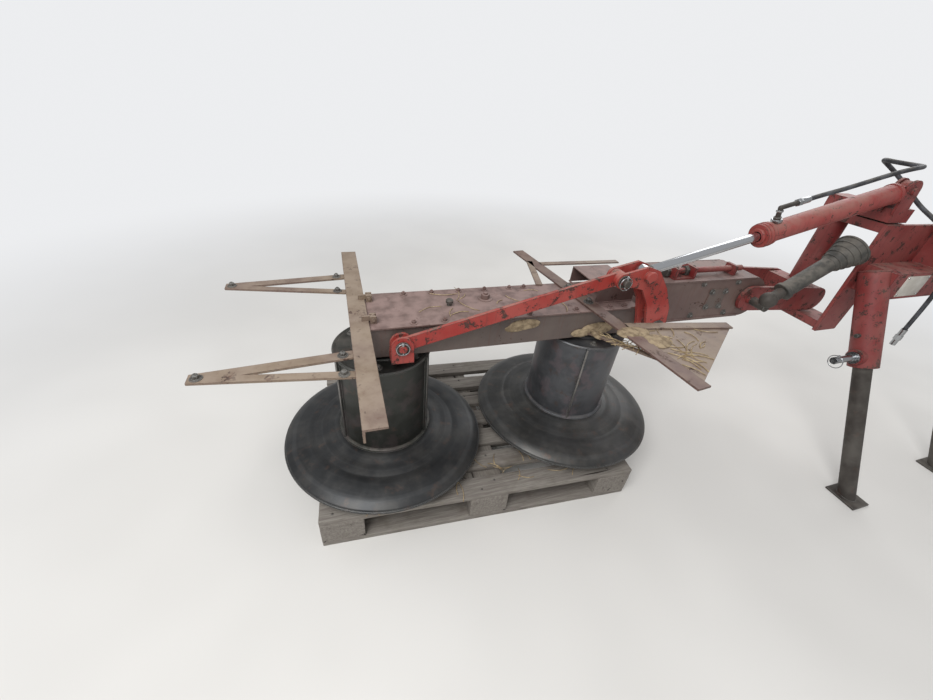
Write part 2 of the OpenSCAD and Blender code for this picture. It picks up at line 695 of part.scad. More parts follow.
hose_d = 16;
hose_sides = 8;
cyl_dir = [cos(cyl_angle), 0, sin(cyl_angle)];
pipe_end = [eye_pin[0], linkage_y, eye_pin[1]] + (cyl_len - barrel_l + port_x + pipe_l) * cyl_dir
    + (barrel_d / 2 + pipe_rise) * [-sin(cyl_angle), 0, cos(cyl_angle)];
port_route = [
    pipe_end, pipe_end + 30 * cyl_dir,
    [715, -144, 1159], [780, -150, 1178], [850, -156, 1200], [920, -161, 1222], [985, -165, 1241], [1045, -166, 1254],
    [1100, -161, 1261], [1144, -147, 1262], [1176, -124, 1261], [1190, -92, 1260], [1190, -60, 1260]
];
supply_route = [
    [1190, -60, 1260], [1190, -28, 1260], [1206, 6, 1260], [1236, 30, 1256], [1274, 34, 1244], [1308, 16, 1222],
    [1330, -20, 1192], [1342, -66, 1156], [1350, -120, 1118], [1357, -180, 1086], [1366, -242, 1052], [1374, -292, 1004],
    [1380, -318, 944], [1384, -328, 880], [1387, -331, 816], [1389, -332, 752], [1390, -332, 690], [1390, -332, 660]
];

function unit(v) = v / norm(v);
function route_dir(r, i) = unit(r[min(i + 1, len(r) - 1)] - r[max(i - 1, 0)]);
// Sideways directions along a route, each turned as little as it can be from the one before
function side_dirs(r, i, side) = i == len(r) ? [] :
    let (d = route_dir(r, i), turned = unit(side - (side * d) * d)) concat([turned], side_dirs(r, i + 1, turned));

module sweep_hose(route, start_side) {
    n = len(route);
    sides = side_dirs(route, 0, start_side);
    ring = [for (i = [0 : n - 1]) let (d = route_dir(route, i), u = sides[i], v = cross(u, d))
        for (k = [0 : hose_sides - 1]) let (a = k * 360 / hose_sides)
            route[i] + hose_d / 2 * (cos(a) * u + sin(a) * v)];
    skin = [for (i = [0 : n - 2]) for (k = [0 : hose_sides - 1])
        let (p = i * hose_sides + k, q = i * hose_sides + (k + 1) % hose_sides)
            each [[p, q, q + hose_sides], [p, q + hose_sides, p + hose_sides]]];
    ends = [[for (k = [hose_sides - 1 : -1 : 0]) k], [for (k = [0 : hose_sides - 1]) (n - 1) * hose_sides + k]];
    polyhedron(points = ring, faces = concat(skin, ends));
}

module port_hose() shifted() color(black_rubber) sweep_hose(port_route, [0, 0, 1]);
module supply_hose() shifted() color(black_rubber) sweep_hose(supply_route, [0, 0, 1]);

// Quick coupler on the free end of the hose
module hose_coupler() shifted() color(bright_steel) translate(supply_route[len(supply_route) - 1]) mirror([0, 0, 1]) {
    cylinder(d = 22, h = 30);
    translate([0, 0, 30]) cylinder(d = 27, h = 22, $fn = 6);
    translate([0, 0, 52]) cylinder(d = 21, h = 26);
}

pallet_boards();
pallet_blocks();
hitch_frame();
mast();
lower_link_pins();
swing_column();
side_arm();
column_head();
pto_guard();
pto_yoke();
port_hose();
supply_hose();
hose_coupler();
arm_tube();
belt_guard();
arm_pin();
tensioner();
gear_case();
beam_cover();
input_hood();
beam_hubs();
stay_bracket();
stay_bar();
rocker();
inner_guard_bar();
inner_guard_rods();
deflector_plate();
guard_lugs();
drum_outer();
disc_outer();
knives_outer();
skid_outer();
drum_inner();
disc_inner();
knives_inner();
skid_inner();
outer_guard_bar();
outer_guard_arms();
cylinder_barrel();
port_pipe();
cylinder_rod();
stand_leg_left();
stand_leg_right();
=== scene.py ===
"""Looks of a two-drum rotary mower for a tractor's three-point hitch, parked with its drums on a pallet.

Lengths are written in millimetres from the inner drum's axis at ground level, X along the gear beam towards the
hitch, Y to the rear and Z up. spot() turns such a place into metres in the model's frame.
"""
import json
import logging
import math
import random
from dataclasses import dataclass, field
from enum import Enum
from typing import Any, Callable, Sequence

import bmesh
import bpy
from mathutils import Matrix, Vector

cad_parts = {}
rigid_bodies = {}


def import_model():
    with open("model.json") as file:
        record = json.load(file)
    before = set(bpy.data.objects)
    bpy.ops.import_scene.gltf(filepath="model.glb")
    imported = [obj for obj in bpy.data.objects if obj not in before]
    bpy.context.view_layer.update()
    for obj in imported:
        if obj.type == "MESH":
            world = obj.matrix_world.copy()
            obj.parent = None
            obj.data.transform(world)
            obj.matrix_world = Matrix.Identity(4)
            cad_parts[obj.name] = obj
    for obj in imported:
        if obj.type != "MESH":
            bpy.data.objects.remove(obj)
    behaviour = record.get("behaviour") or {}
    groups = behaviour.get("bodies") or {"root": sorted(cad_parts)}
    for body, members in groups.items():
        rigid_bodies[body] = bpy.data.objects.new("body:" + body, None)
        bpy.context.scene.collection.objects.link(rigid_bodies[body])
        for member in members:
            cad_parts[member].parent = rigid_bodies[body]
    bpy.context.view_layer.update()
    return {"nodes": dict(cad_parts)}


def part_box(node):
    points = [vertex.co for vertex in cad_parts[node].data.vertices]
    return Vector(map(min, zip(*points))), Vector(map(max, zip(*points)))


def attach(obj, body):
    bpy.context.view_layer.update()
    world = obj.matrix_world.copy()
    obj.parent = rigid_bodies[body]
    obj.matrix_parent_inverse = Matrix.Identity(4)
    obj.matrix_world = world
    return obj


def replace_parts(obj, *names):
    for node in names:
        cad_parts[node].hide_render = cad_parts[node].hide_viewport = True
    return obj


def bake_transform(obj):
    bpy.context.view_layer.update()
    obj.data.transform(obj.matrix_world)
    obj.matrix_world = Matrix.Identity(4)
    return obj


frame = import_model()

LOG = logging.getLogger("mower")
MM = 0.001
SAME_PLACE = 0.00001
INNER_AXIS = (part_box("skid_inner")[0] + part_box("skid_inner")[1]) / 2
Pair = tuple[float, float]
Triple = tuple[float, float, float]
Outline = tuple[Pair, ...]
Place = tuple[Triple, Triple, float]


class Axis(Enum):
    """A direction that a grain, a bolt or a tube runs in."""

    X = (1.0, 0.0, 0.0)
    Y = (0.0, 1.0, 0.0)
    Z = (0.0, 0.0, 1.0)
    BACK = (0.0, -1.0, 0.0)


class Body(Enum):
    """The model's moving bodies, by the names that the frame gives them."""

    BASE = "base"
    SIDE_ARM = "side_arm"
    ARM = "arm"
    BEAM = "beam"
    DRUM_OUTER = "drum_outer"
    DRUM_INNER = "drum_inner"
    OUTER_GUARD = "outer_guard"
    CYLINDER = "cylinder"
    ROD = "rod"


def spot(x: float, y: float, z: float) -> Vector:
    """Turns a measured place into the model's frame.

    Args:
        x: Millimetres from the inner drum's axis towards the hitch.
        y: Millimetres to the rear.
        z: Millimetres above the ground.

    Returns:
        The point in metres.
    """
    return Vector((INNER_AXIS.x + x * MM, INNER_AXIS.y + y * MM, z * MM))


def linear(code: str) -> tuple[float, float, float, float]:
    """Turns an sRGB hex code into the linear colour that a shader takes.

    Args:
        code: Six hex digits, such as 7a5a50.

    Returns:
        Red, green, blue and alpha.
    """
    parts = [int(code[i:i + 2], 16) / 255 for i in (0, 2, 4)]
    red, green, blue = (p / 12.92 if p <= 0.04045 else ((p + 0.055) / 1.055) ** 2.4 for p in parts)
    return red, green, blue, 1.0


def add_node(tree: bpy.types.NodeTree, kind: str, inputs: dict[Any, Any], **settings: Any) -> bpy.types.Node:
    """Adds one node to a tree and fills or links its sockets.

    Args:
        tree: The node tree to add to.
        kind: The node's type name.
        inputs: Socket names or numbers, each with a value or with the output socket that feeds it.
        **settings: Properties of the node itself.

    Returns:
        The new node.
    """
    node = tree.nodes.new(kind)
    for name, value in settings.items():
        setattr(node, name, value)
    for socket, value in inputs.items():
        if isinstance(value, bpy.types.NodeSocket):
            tree.links.new(value, node.inputs[socket])
        else:
            node.inputs[socket].default_value = value
    return node


class Layers:
    """A material built up from masks and colours, one coat over another."""

    def __init__(self, name: str) -> None:
        """Starts an empty material with its object coordinates at hand.

        Args:
            name: The material's name.
        """
        self.material = bpy.data.materials.new(name)
        self.material.use_nodes = True
        self.tree = self.material.node_tree
        self.tree.nodes.clear()
        self.coords = add_node(self.tree, "ShaderNodeTexCoord", {}).outputs["Object"]

    def noise(self, size: float, detail: float = 3.0, stretch: Triple = (1, 1, 1), shift: float = 0.0,
              turn: float = 0.0) -> bpy.types.NodeSocket:
        """Makes a noise whose lumps are about size millimetres wide.

        Args:
            size: Width of a lump in millimetres.
            detail: How many finer octaves it has.
            stretch: How many times longer a lump is along each axis.
            shift: Moves the pattern, so that two noises of one size differ.
            turn: Turns the pattern about Z, in degrees.

        Returns:
            The value socket, from 0 to 1.
        """
        scale = [1 / s for s in stretch]
        place = add_node(self.tree, "ShaderNodeMapping", {
            "Vector": self.coords, "Location": (shift, shift * 0.7, shift * 0.3),
            "Rotation": (0, 0, math.radians(turn)), "Scale": scale})
        return add_node(self.tree, "ShaderNodeTexNoise", {
            "Vector": place.outputs[0], "Scale": 1000 / size, "Detail": detail, "Roughness": 0.58}).outputs[0]

    def rings(self, centre: Vector, size: float) -> bpy.types.NodeSocket:
        """Makes rings about an upright axis, as something that turns gets.

        Args:
            centre: A place on the axis, in metres.
            size: About how wide a ring is, in millimetres.

        Returns:
            The value socket, from 0 to 1.
        """
        flat = add_node(self.tree, "ShaderNodeVectorMath", {0: self.coords, 1: (centre.x, centre.y, 0)},
                        operation="SUBTRACT")
        flat = add_node(self.tree, "ShaderNodeVectorMath", {0: flat.outputs[0], 1: (1, 1, 0)}, operation="MULTIPLY")
        radius = add_node(self.tree, "ShaderNodeVectorMath", {0: flat.outputs[0]}, operation="LENGTH").outputs[1]
        wander = self.math("MULTIPLY", self.noise(180), 0.02)
        return add_node(self.tree, "ShaderNodeTexNoise", {
            "W": self.math("ADD", radius, wander), "Scale": 1000 / size, "Detail": 4.0},
            noise_dimensions="1D").outputs[0]

    def math(self, operation: str, *values: Any) -> bpy.types.NodeSocket:
        """Joins values by one operation, such as the two of a sum."""
        return add_node(self.tree, "ShaderNodeMath", dict(enumerate(values)), operation=operation).outputs[0]

    def step(self, value: Any, low: float, high: float) -> bpy.types.NodeSocket:
        """Turns a value into a soft mask that is 0 below low and 1 above high."""
        return add_node(self.tree, "ShaderNodeMapRange", {"Value": value, "From Min": low, "From Max": high},
                        interpolation_type="SMOOTHSTEP").outputs[0]

    def tint(self, mask: Any, below: Any, above: Any) -> bpy.types.NodeSocket:
        """Lays one colour over another where the mask is 1."""
        return add_node(self.tree, "ShaderNodeMix", {0: mask, 6: below, 7: above}, data_type="RGBA").outputs[2]

    def facing_up(self) -> bpy.types.NodeSocket:
        """Gives 1 where the surface faces the sky and 0 where it is upright or below."""
        normal = add_node(self.tree, "ShaderNodeNewGeometry", {}).outputs["Normal"]
        return self.step(add_node(self.tree, "ShaderNodeSeparateXYZ", {0: normal}).outputs[2], 0.15, 0.9)

    def rounded(self, radius: float) -> bpy.types.NodeSocket:
        """Gives the normal of the shape with its sharp edges rounded, radius in millimetres."""
        return add_node(self.tree, "ShaderNodeBevel", {"Radius": radius * MM}, samples=4).outputs[0]

    def edges(self, radius: float) -> bpy.types.NodeSocket:
        """Finds the sharp edges, where paint wears through.

        Args:
            radius: How far from an edge the wear reaches, in millimetres.

        Returns:
            The mask socket, 1 along the edges.
        """
        plain = add_node(self.tree, "ShaderNodeNewGeometry", {}).outputs["True Normal"]
        match = add_node(self.tree, "ShaderNodeVectorMath", {0: self.rounded(radius), 1: plain},
                         operation="DOT_PRODUCT").outputs["Value"]
        return self.step(self.math("SUBTRACT", 1.0, match), 0.01, 0.2)

    def close(self, colour: Any, rough: Any, metal: Any = 0.0, height: Any = None, depth: float = 0.4,
              radius: float = 1.0) -> bpy.types.Material:
        """Ends the material with its shader.

        Args:
            colour: The base colour.
            rough: The roughness.
            metal: 1 for bare metal and 0 for anything else.
            height: The relief's value socket, or None for a smooth surface.
            depth: How deep the relief is, in millimetres.
            radius: How far sharp edges look rounded, in millimetres.

        Returns:
            The finished material.
        """
        normal = self.rounded(radius)
        if height is not None:
            normal = add_node(self.tree, "ShaderNodeBump", {
                "Height": height, "Strength": 1.0, "Distance": depth * MM, "Normal": normal}).outputs[0]
        shader = add_node(self.tree, "ShaderNodeBsdfPrincipled", {
            "Base Color": colour, "Roughness": rough, "Metallic": metal, "Normal": normal})
        add_node(self.tree, "ShaderNodeOutputMaterial", {"Surface": shader.outputs[0]})
        return self.material


@dataclass(frozen=True)
class OldPaint:
    """Paint that has faded, flaked to rust and gathered dust."""

    name: str
    paint: str
    faded: str
    rust: str = "5a362c"
    dark_rust: str = "38251f"
    dust: str = "9c8b7e"
    wear: float = 0.35
    dusting: float = 0.6
    patch_size: float = 34.0

    def build(self) -> bpy.types.Material:
        """Makes the material.

        Returns:
            The finished material.
        """
        coat = Layers(self.name)
        middle = coat.noise(self.patch_size, 5.0, shift=3.1)
        fine = coat.noise(self.patch_size / 7, 4.0, shift=5.3)
        flake = coat.math("ADD", coat.math("MULTIPLY", middle, 0.65), coat.math("MULTIPLY", fine, 0.35))
        flake = coat.math("ADD", flake, coat.math("MULTIPLY", coat.edges(3.5), 0.22))
        flake = coat.step(flake, 0.72 - 0.4 * self.wear, 0.76 - 0.4 * self.wear)
        colour = coat.tint(coat.step(coat.noise(self.patch_size * 5, 3.0), 0.38, 0.62), linear(self.paint),
                           linear(self.faded))
        streak = coat.step(coat.noise(9, 3.0, (1, 1, 14), shift=8.0), 0.5, 0.75)
        colour = coat.tint(coat.math("MULTIPLY", streak, 0.35), colour, linear(self.rust))
        under = coat.tint(coat.step(fine, 0.4, 0.62), linear(self.rust), linear(self.dark_rust))
        colour = coat.tint(flake, colour, under)
        settled = coat.math("MULTIPLY_ADD", coat.facing_up(), 0.75, 0.12)
        settled = coat.math("MULTIPLY", settled, coat.step(coat.noise(60, 6.0, shift=1.7), 0.3, 0.62))
        settled = coat.math("MULTIPLY", settled, self.dusting)
        colour = coat.tint(settled, colour, linear(self.dust))
        height = coat.math("SUBTRACT", coat.math("MULTIPLY", fine, 0.5), coat.math("MULTIPLY", flake, 0.8))
        rough = coat.math("ADD", coat.math("MULTIPLY", flake, 0.25), coat.math("MULTIPLY", settled, 0.3))
        rough = coat.math("ADD", rough, 0.5)
        return coat.close(colour, rough, height=height, depth=0.5)


@dataclass(frozen=True)
class WornSteel:
    """Bare dark steel, polished by crop and stained by weather."""

    name: str
    steel: str = "4b4d4f"
    dark: str = "2f3132"
    stain: str = "5b4a42"
    remains: str = "7c4049"
    dust: str = "8b857c"
    ring: str = "6e7072"
    bare_edge: str = "9a9a97"
    rough: float = 0.42
    metal: float = 0.65
    painted: float = 0.0
    dusting: float = 0.25
    turned_about: Triple | None = None

    def build(self) -> bpy.types.Material:
        """Makes the material.

        Returns:
            The finished material.
        """
        coat = Layers(self.name)
        broad = coat.noise(160, 4.0)
        fine = coat.noise(11, 5.0, shift=2.2)
        colour = coat.tint(coat.step(broad, 0.36, 0.62), linear(self.dark), linear(self.steel))
        if self.turned_about:
            rings = coat.rings(spot(*self.turned_about), 26)
            colour = coat.tint(coat.math("MULTIPLY", coat.step(rings, 0.45, 0.75), 0.13), colour, linear(self.ring))
        smear = coat.step(coat.noise(45, 5.0, shift=4.4), 0.56, 0.72)
        colour = coat.tint(coat.math("MULTIPLY", smear, 0.55), colour, linear(self.stain))
        left = coat.math("MULTIPLY", coat.step(coat.noise(70, 5.0, shift=6.1), 0.5, 0.6), self.painted)
        colour = coat.tint(left, colour, linear(self.remains))
        rim = coat.edges(4.0)
        colour = coat.tint(coat.math("MULTIPLY", rim, 0.6), colour, linear(self.bare_edge))
        settled = coat.math("MULTIPLY", coat.facing_up(), coat.step(coat.noise(80, 6.0, shift=9.1), 0.4, 0.7))
        settled = coat.math("MULTIPLY", settled, self.dusting)
        colour = coat.tint(settled, colour, linear(self.dust))
        rough = coat.math("ADD", self.rough - 0.1, coat.math("MULTIPLY", broad, 0.3))
        rough = coat.math("ADD", rough, coat.math("MULTIPLY", settled, 0.4))
        metal = coat.math("MULTIPLY", coat.math("SUBTRACT", 1.0, coat.math("MAXIMUM", left, settled)), self.metal)
        return coat.close(colour, rough, metal, fine, 0.25, 1.5)


@dataclass(frozen=True)
class BrightSteel:
    """Ground or plated steel with fine scratches along it."""

    name: str
    steel: str = "a9abad"
    stain: str = "6b625b"
    rough: float = 0.22
    stained: float = 0.3
    along: Axis = Axis.X

    def build(self) -> bpy.types.Material:
        """Makes the material.

        Returns:
            The finished material.
        """
        coat = Layers(self.name)
        stretch = tuple(1 + 18 * abs(a) for a in self.along.value)
        scratch = coat.noise(3, 3.0, stretch)
        smear = coat.math("MULTIPLY", coat.step(coat.noise(40, 5.0, shift=2.0), 0.5, 0.7), self.stained)
        colour = coat.tint(smear, linear(self.steel), linear(self.stain))
        rough = coat.math("ADD", coat.math("MULTIPLY", scratch, 0.18), coat.math("MULTIPLY", smear, 0.5))
        rough = coat.math("ADD", rough, self.rough - 0.08)
        metal = coat.math("SUBTRACT", 1.0, coat.math("MULTIPLY", smear, 0.7))
        return coat.close(colour, rough, metal, scratch, 0.05, 1.0)


@dataclass(frozen=True)
class GreyWood:
    """Sawn softwood that has turned grey, with its grain along one axis of the pallet."""

    name: str
    along: Axis
    pale: str = "948c80"
    brown: str = "77695a"
    dark: str = "4a4239"
    stain: str = "5b5348"
    crack: str = "2b2520"
    turn: float = 3.0

    def build(self) -> bpy.types.Material:
        """Makes the material.

        Returns:
            The finished material.
        """
        coat = Layers(self.name)
        stretch = tuple(1 + 24 * abs(a) for a in self.along.value)
        grain = coat.noise(9, 4.0, stretch, turn=self.turn)
        fibre = coat.noise(2.2, 3.0, stretch, 2.0, self.turn)
        crack = coat.step(coat.noise(14, 2.0, tuple(2 * s for s in stretch), 4.0, self.turn), 0.66, 0.7)
        colour = coat.tint(coat.step(grain, 0.35, 0.65), linear(self.pale), linear(self.brown))
        colour = coat.tint(coat.math("MULTIPLY", coat.step(fibre, 0.4, 0.7), 0.45), colour, linear(self.dark))
        stain = coat.step(coat.noise(120, 5.0, shift=7.0), 0.5, 0.72)
        colour = coat.tint(coat.math("MULTIPLY", stain, 0.6), colour, linear(self.stain))
        colour = coat.tint(crack, colour, linear(self.crack))
        height = coat.math("SUBTRACT", coat.math("ADD", grain, coat.math("MULTIPLY", fibre, 0.6)),
                           coat.math("MULTIPLY", crack, 2.0))
        return coat.close(colour, 0.88, height=height, depth=0.7, radius=1.5)


@dataclass(frozen=True)
class Rubber:
    """Hose rubber or moulded plastic, greyed by dust."""

    name: str
    black: str = "26272b"
    grey: str = "4d4f54"
    dust: str = "7d776e"
    rough: float = 0.6
    dusting: float = 0.4

    def build(self) -> bpy.types.Material:
        """Makes the material.

        Returns:
            The finished material.
        """
        coat = Layers(self.name)
        fine = coat.noise(5, 4.0)
        colour = coat.tint(coat.step(coat.noise(50, 5.0), 0.4, 0.65), linear(self.black), linear(self.grey))
        settled = coat.math("MULTIPLY", coat.facing_up(), coat.step(coat.noise(30, 5.0, shift=3.0), 0.35, 0.65))
        settled = coat.math("MULTIPLY", settled, self.dusting)
        colour = coat.tint(settled, colour, linear(self.dust))
        rough = coat.math("ADD", coat.math("MULTIPLY", settled, 0.3), self.rough)
        return coat.close(colour, rough, height=fine, depth=0.2)


@dataclass(frozen=True)
class Fibre:
    """Straw, twine or dried crop, matt and uneven in colour."""

    name: str
    pale: str
    dark: str

    def build(self) -> bpy.types.Material:
        """Makes the material.

        Returns:
            The finished material.
        """
        coat = Layers(self.name)
        fine = coat.noise(2.5, 4.0)
        colour = coat.tint(coat.step(coat.noise(22, 5.0), 0.35, 0.65), linear(self.pale), linear(self.dark))
        return coat.close(colour, 0.9, height=fine, depth=0.4)


class Finish(Enum):
    """The finishes that the mower shows, each with its recipe."""

    BRIGHT_RED = OldPaint("paint_bright_red", "972822", "a03e37", rust="4f2622", wear=0.44, dusting=0.45)
    # The hitch's red is the same paint as the other reds, made darker as painted shade for the shade that the hitch
    # frame stands in.
    HITCH_RED = OldPaint("paint_hitch_red_shaded", "7a2b2a", "88423f", rust="4a2723", wear=0.42, dusting=0.4)
    CYLINDER_RED = OldPaint("paint_cylinder_red", "8a2b28", "94433e", rust="4c2823", wear=0.36, dusting=0.45)
    BEAM_BROWN = OldPaint("paint_beam_brown", "5b4844", "67554f", wear=0.3, dusting=0.75, dust="97807a", patch_size=55)
    CASE_BROWN = OldPaint("paint_case_brown", "4f4441", "5c514c", wear=0.28, dusting=0.7, dust="8f7f74", patch_size=55)
    GUARD_BROWN = OldPaint(
        "paint_guard_brown", "6f5d54", "80705f", rust="5f4034", wear=0.36, dusting=0.55, dust="9c8d7e", patch_size=60)
    GUARD_DARK = OldPaint(
        "paint_guard_dark", "58413b", "654c44", rust="482f28", wear=0.36, dusting=0.4, dust="958678", patch_size=60)
    DRUM_OUTER = WornSteel("steel_drum_outer", painted=0.2, steel="464744", dark="343531", remains="60494d")
    DRUM_INNER = WornSteel("steel_drum_inner", painted=0.3, steel="606164", dark="4a4b4e", remains="6a5558")
    DISC_OUTER = WornSteel(
        "steel_disc_outer", steel="3b3c3d", dark="303132", rough=0.36, dusting=0.1, turned_about=(-790, 0, 0))
    DISC_INNER = WornSteel(
        "steel_disc_inner", steel="4a4a4a", dark="3d3d3c", rough=0.36, dusting=0.12, turned_about=(0, 0, 0))
    DARK_STEEL = WornSteel("steel_dark", steel="5a5651", dark="3c3733", metal=0.4, rough=0.6)
    BRIGHT_STEEL = BrightSteel("steel_bright")
    RIB_STEEL = BrightSteel("steel_rib_edge", steel="8d8a86", stain="4f4643", rough=0.34, stained=0.75, along=Axis.Z)
    PLATED_ROD = BrightSteel("steel_plated_rod", steel="c4c6c9", rough=0.14, stained=0.12)
    WOOD_X = GreyWood("wood_along_x", Axis.X, pale="8a857d", brown="77706a")
    WOOD_Y = GreyWood("wood_along_y", Axis.Y, pale="8a857d", brown="77706a")
    BLACK_RUBBER = Rubber("rubber_black")
    GREY_PLASTIC = Rubber("plastic_grey", black="3a3936", grey="57544e", rough=0.55, dusting=0.6)
    STRAW = Fibre("straw", "b8a583", "8a7658")
    MUD = Fibre("mud_and_crop", "a39176", "75654f")
    BLANK_PLATE = Rubber("plate_blank", black="b9b4ab", grey="cbc7bf", dust="9b9084", rough=0.45, dusting=0.5)

    def material(self) -> bpy.types.Material:
        """Gives the finish's material, made the first time that it is asked for."""
        made = bpy.data.materials.get(self.value.name)
        return made if made else self.value.build()


def fresh() -> None:
    """Leaves edit mode and deselects everything."""
    if bpy.context.object and bpy.context.object.mode != "OBJECT":
        bpy.ops.object.mode_set(mode="OBJECT")
    bpy.ops.object.select_all(action="DESELECT")


def pick(piece: bpy.types.Object) -> None:
    """Selects one object alone and makes it the active one.

    Args:
        piece: The object.
    """
    fresh()
    piece.select_set(True)
    bpy.context.view_layer.objects.active = piece


def settle(piece: bpy.types.Object) -> bpy.types.Object:
    """Moves a piece's place into its mesh, so that its object lies at the origin.

    Args:
        piece: The piece, placed, turned or scaled as an object.

    Returns:
        The same piece.
    """
    pick(piece)
    bpy.ops.object.transform_apply(location=True, rotation=True, scale=True)
    return piece


def dress(piece: bpy.types.Object, finish: Finish, body: Body) -> bpy.types.Object:
    """Gives a finished piece its material and the body that it rides on.

    Args:
        piece: The piece, already in place.
        finish: What its surface is.
        body: The body that carries it.

    Returns:
        The same piece.
    """
    piece.data.materials.clear()
    piece.data.materials.append(finish.material())
    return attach(piece, body.value)


def dress_node(name: str, finish: Finish) -> None:
    """Gives a node of the CAD model its finish.

    Args:
        name: The node's name.
        finish: What its surface is.
    """
    node = frame["nodes"][name]
    node.data.materials.clear()
    node.data.materials.append(finish.material())


def smooth_path(points: Sequence[Vector], steps: int) -> list[Vector]:
    """Runs one smooth curve through a route's points.

    Args:
        points: The route.
        steps: How many pieces each span is cut into.

    Returns:
        Points along the curve, the route's own among them.
    """
    ends = [points[0] * 2 - points[1], *points, points[-1] * 2 - points[-2]]
    curve = []
    for a, b, c, d in zip(ends, ends[1:], ends[2:], ends[3:]):
        for i in range(steps):
            t = i / steps
            curve.append(0.5 * (2 * b + (c - a) * t + (2 * a - 5 * b + 4 * c - d) * t ** 2
                                + (3 * b - a - 3 * c + d) * t ** 3))
    return [*curve, points[-1].copy()]


def sweep(name: str, path: Sequence[Vector], radius: float, sides: int, ripple: float = 0.0) -> bpy.types.Object:
    """Makes a closed tube along a path, turned as little as it can be from ring to ring.

    Args:
        name: The new object's name.
        path: Its centre line, in metres.
        radius: Its radius in metres.
        sides: How many sides it has.
        ripple: By what share of the radius every other ring is wider, as in a weld bead.

    Returns:
        The tube, at the origin.
    """
    grid = bmesh.new()
    side = Vector((0, 0, 1))
    rings = []
    for i, point in enumerate(path):
        ahead = (path[min(i + 1, len(path) - 1)] - path[max(i - 1, 0)]).normalized()
        side = (side - ahead * side.dot(ahead)).normalized()
        other = ahead.cross(side)
        turns = [math.tau * k / sides for k in range(sides)]
        wide = radius * (1 + ripple * (i % 2))
        rings.append([grid.verts.new(point + wide * (side * math.cos(t) + other * math.sin(t))) for t in turns])
    for near, far in zip(rings, rings[1:]):
        for k in range(sides):
            grid.faces.new((near[k], near[(k + 1) % sides], far[(k + 1) % sides], far[k]))
    grid.faces.new(list(reversed(rings[0])))
    grid.faces.new(rings[-1])
    bmesh.ops.recalc_face_normals(grid, faces=grid.faces)
    mesh = bpy.data.meshes.new(name)
    grid.to_mesh(mesh)
    grid.free()
    mesh.shade_smooth()
    tube = bpy.data.objects.new(name, mesh)
    bpy.context.scene.collection.objects.link(tube)
    return tube


def mesh_edit(piece: bpy.types.Object, chosen: Callable[[bmesh.types.BMFace], bool]) -> None:
    """Enters edit mode with some faces selected.

    Args:
        piece: The piece to work on.
        chosen: Says of each face whether it is selected.
    """
    pick(piece)
    bpy.ops.object.mode_set(mode="EDIT")
    bpy.ops.mesh.select_mode(type="FACE")
    bpy.ops.mesh.select_all(action="DESELECT")
    grid = bmesh.from_edit_mesh(piece.data)
    for face in grid.faces:
        face.select_set(chosen(face))
    bmesh.update_edit_mesh(piece.data)


def close_edit(piece: bpy.types.Object, angle: float = 35.0) -> bpy.types.Object:
    """Leaves edit mode, settles a piece and smooths its shading.

    Args:
        piece: The piece.
        angle: Edges that turn by less than this many degrees look smooth.

    Returns:
        The same piece.
    """
    settle(piece)
    bpy.ops.object.shade_smooth_by_angle(angle=math.radians(angle))
    return piece


def turned(towards: Sequence[float], turn: float = 0.0) -> Matrix:
    """Gives the turn that points a piece's top along a direction, after a turn about its own axis in degrees."""
    aim = Vector(towards).to_track_quat("Z", "Y").to_matrix().to_4x4()
    return aim @ Matrix.Rotation(math.radians(turn), 4, "Z")


def bar(name: str, start: Triple, end: Triple, radius: float, sides: int = 20, bevel: float = 1.0) -> bpy.types.Object:
    """Makes a round bar with bevelled ends.

    Args:
        name: The piece's name.
        start: Middle of its one end in measured millimetres.
        end: Middle of its other end.
        radius: Its radius in millimetres.
        sides: How many sides it has.
        bevel: Width of the bevel round its ends, in millimetres.

    Returns:
        The bar.
    """
    low, high = spot(*start), spot(*end)
    fresh()
    bpy.ops.mesh.primitive_cylinder_add(vertices=sides, radius=radius * MM, depth=(high - low).length,
                                        location=(low + high) / 2, rotation=turned(high - low).to_euler())
    piece = bpy.context.object
    piece.name = name
    mesh_edit(piece, lambda face: len(face.verts) > 4)
    bpy.ops.mesh.region_to_loop()
    bpy.ops.mesh.bevel(offset=bevel * MM, segments=2, affect="EDGES")
    return close_edit(piece)


def block(name: str, low: Triple, high: Triple, bevel: float = 1.5) -> bpy.types.Object:
    """Makes a box with bevelled edges.

    Args:
        name: The piece's name.
        low: Its lowest corner, in measured millimetres.
        high: Its highest corner.
        bevel: Width of the bevel, in millimetres.

    Returns:
        The box.
    """
    first, last = spot(*low), spot(*high)
    fresh()
    bpy.ops.mesh.primitive_cube_add(size=1, location=(first + last) / 2, scale=last - first)
    piece = settle(bpy.context.object)
    piece.name = name
    mesh_edit(piece, lambda face: True)
    bpy.ops.mesh.bevel(offset=bevel * MM, segments=2, affect="EDGES")
    return close_edit(piece)


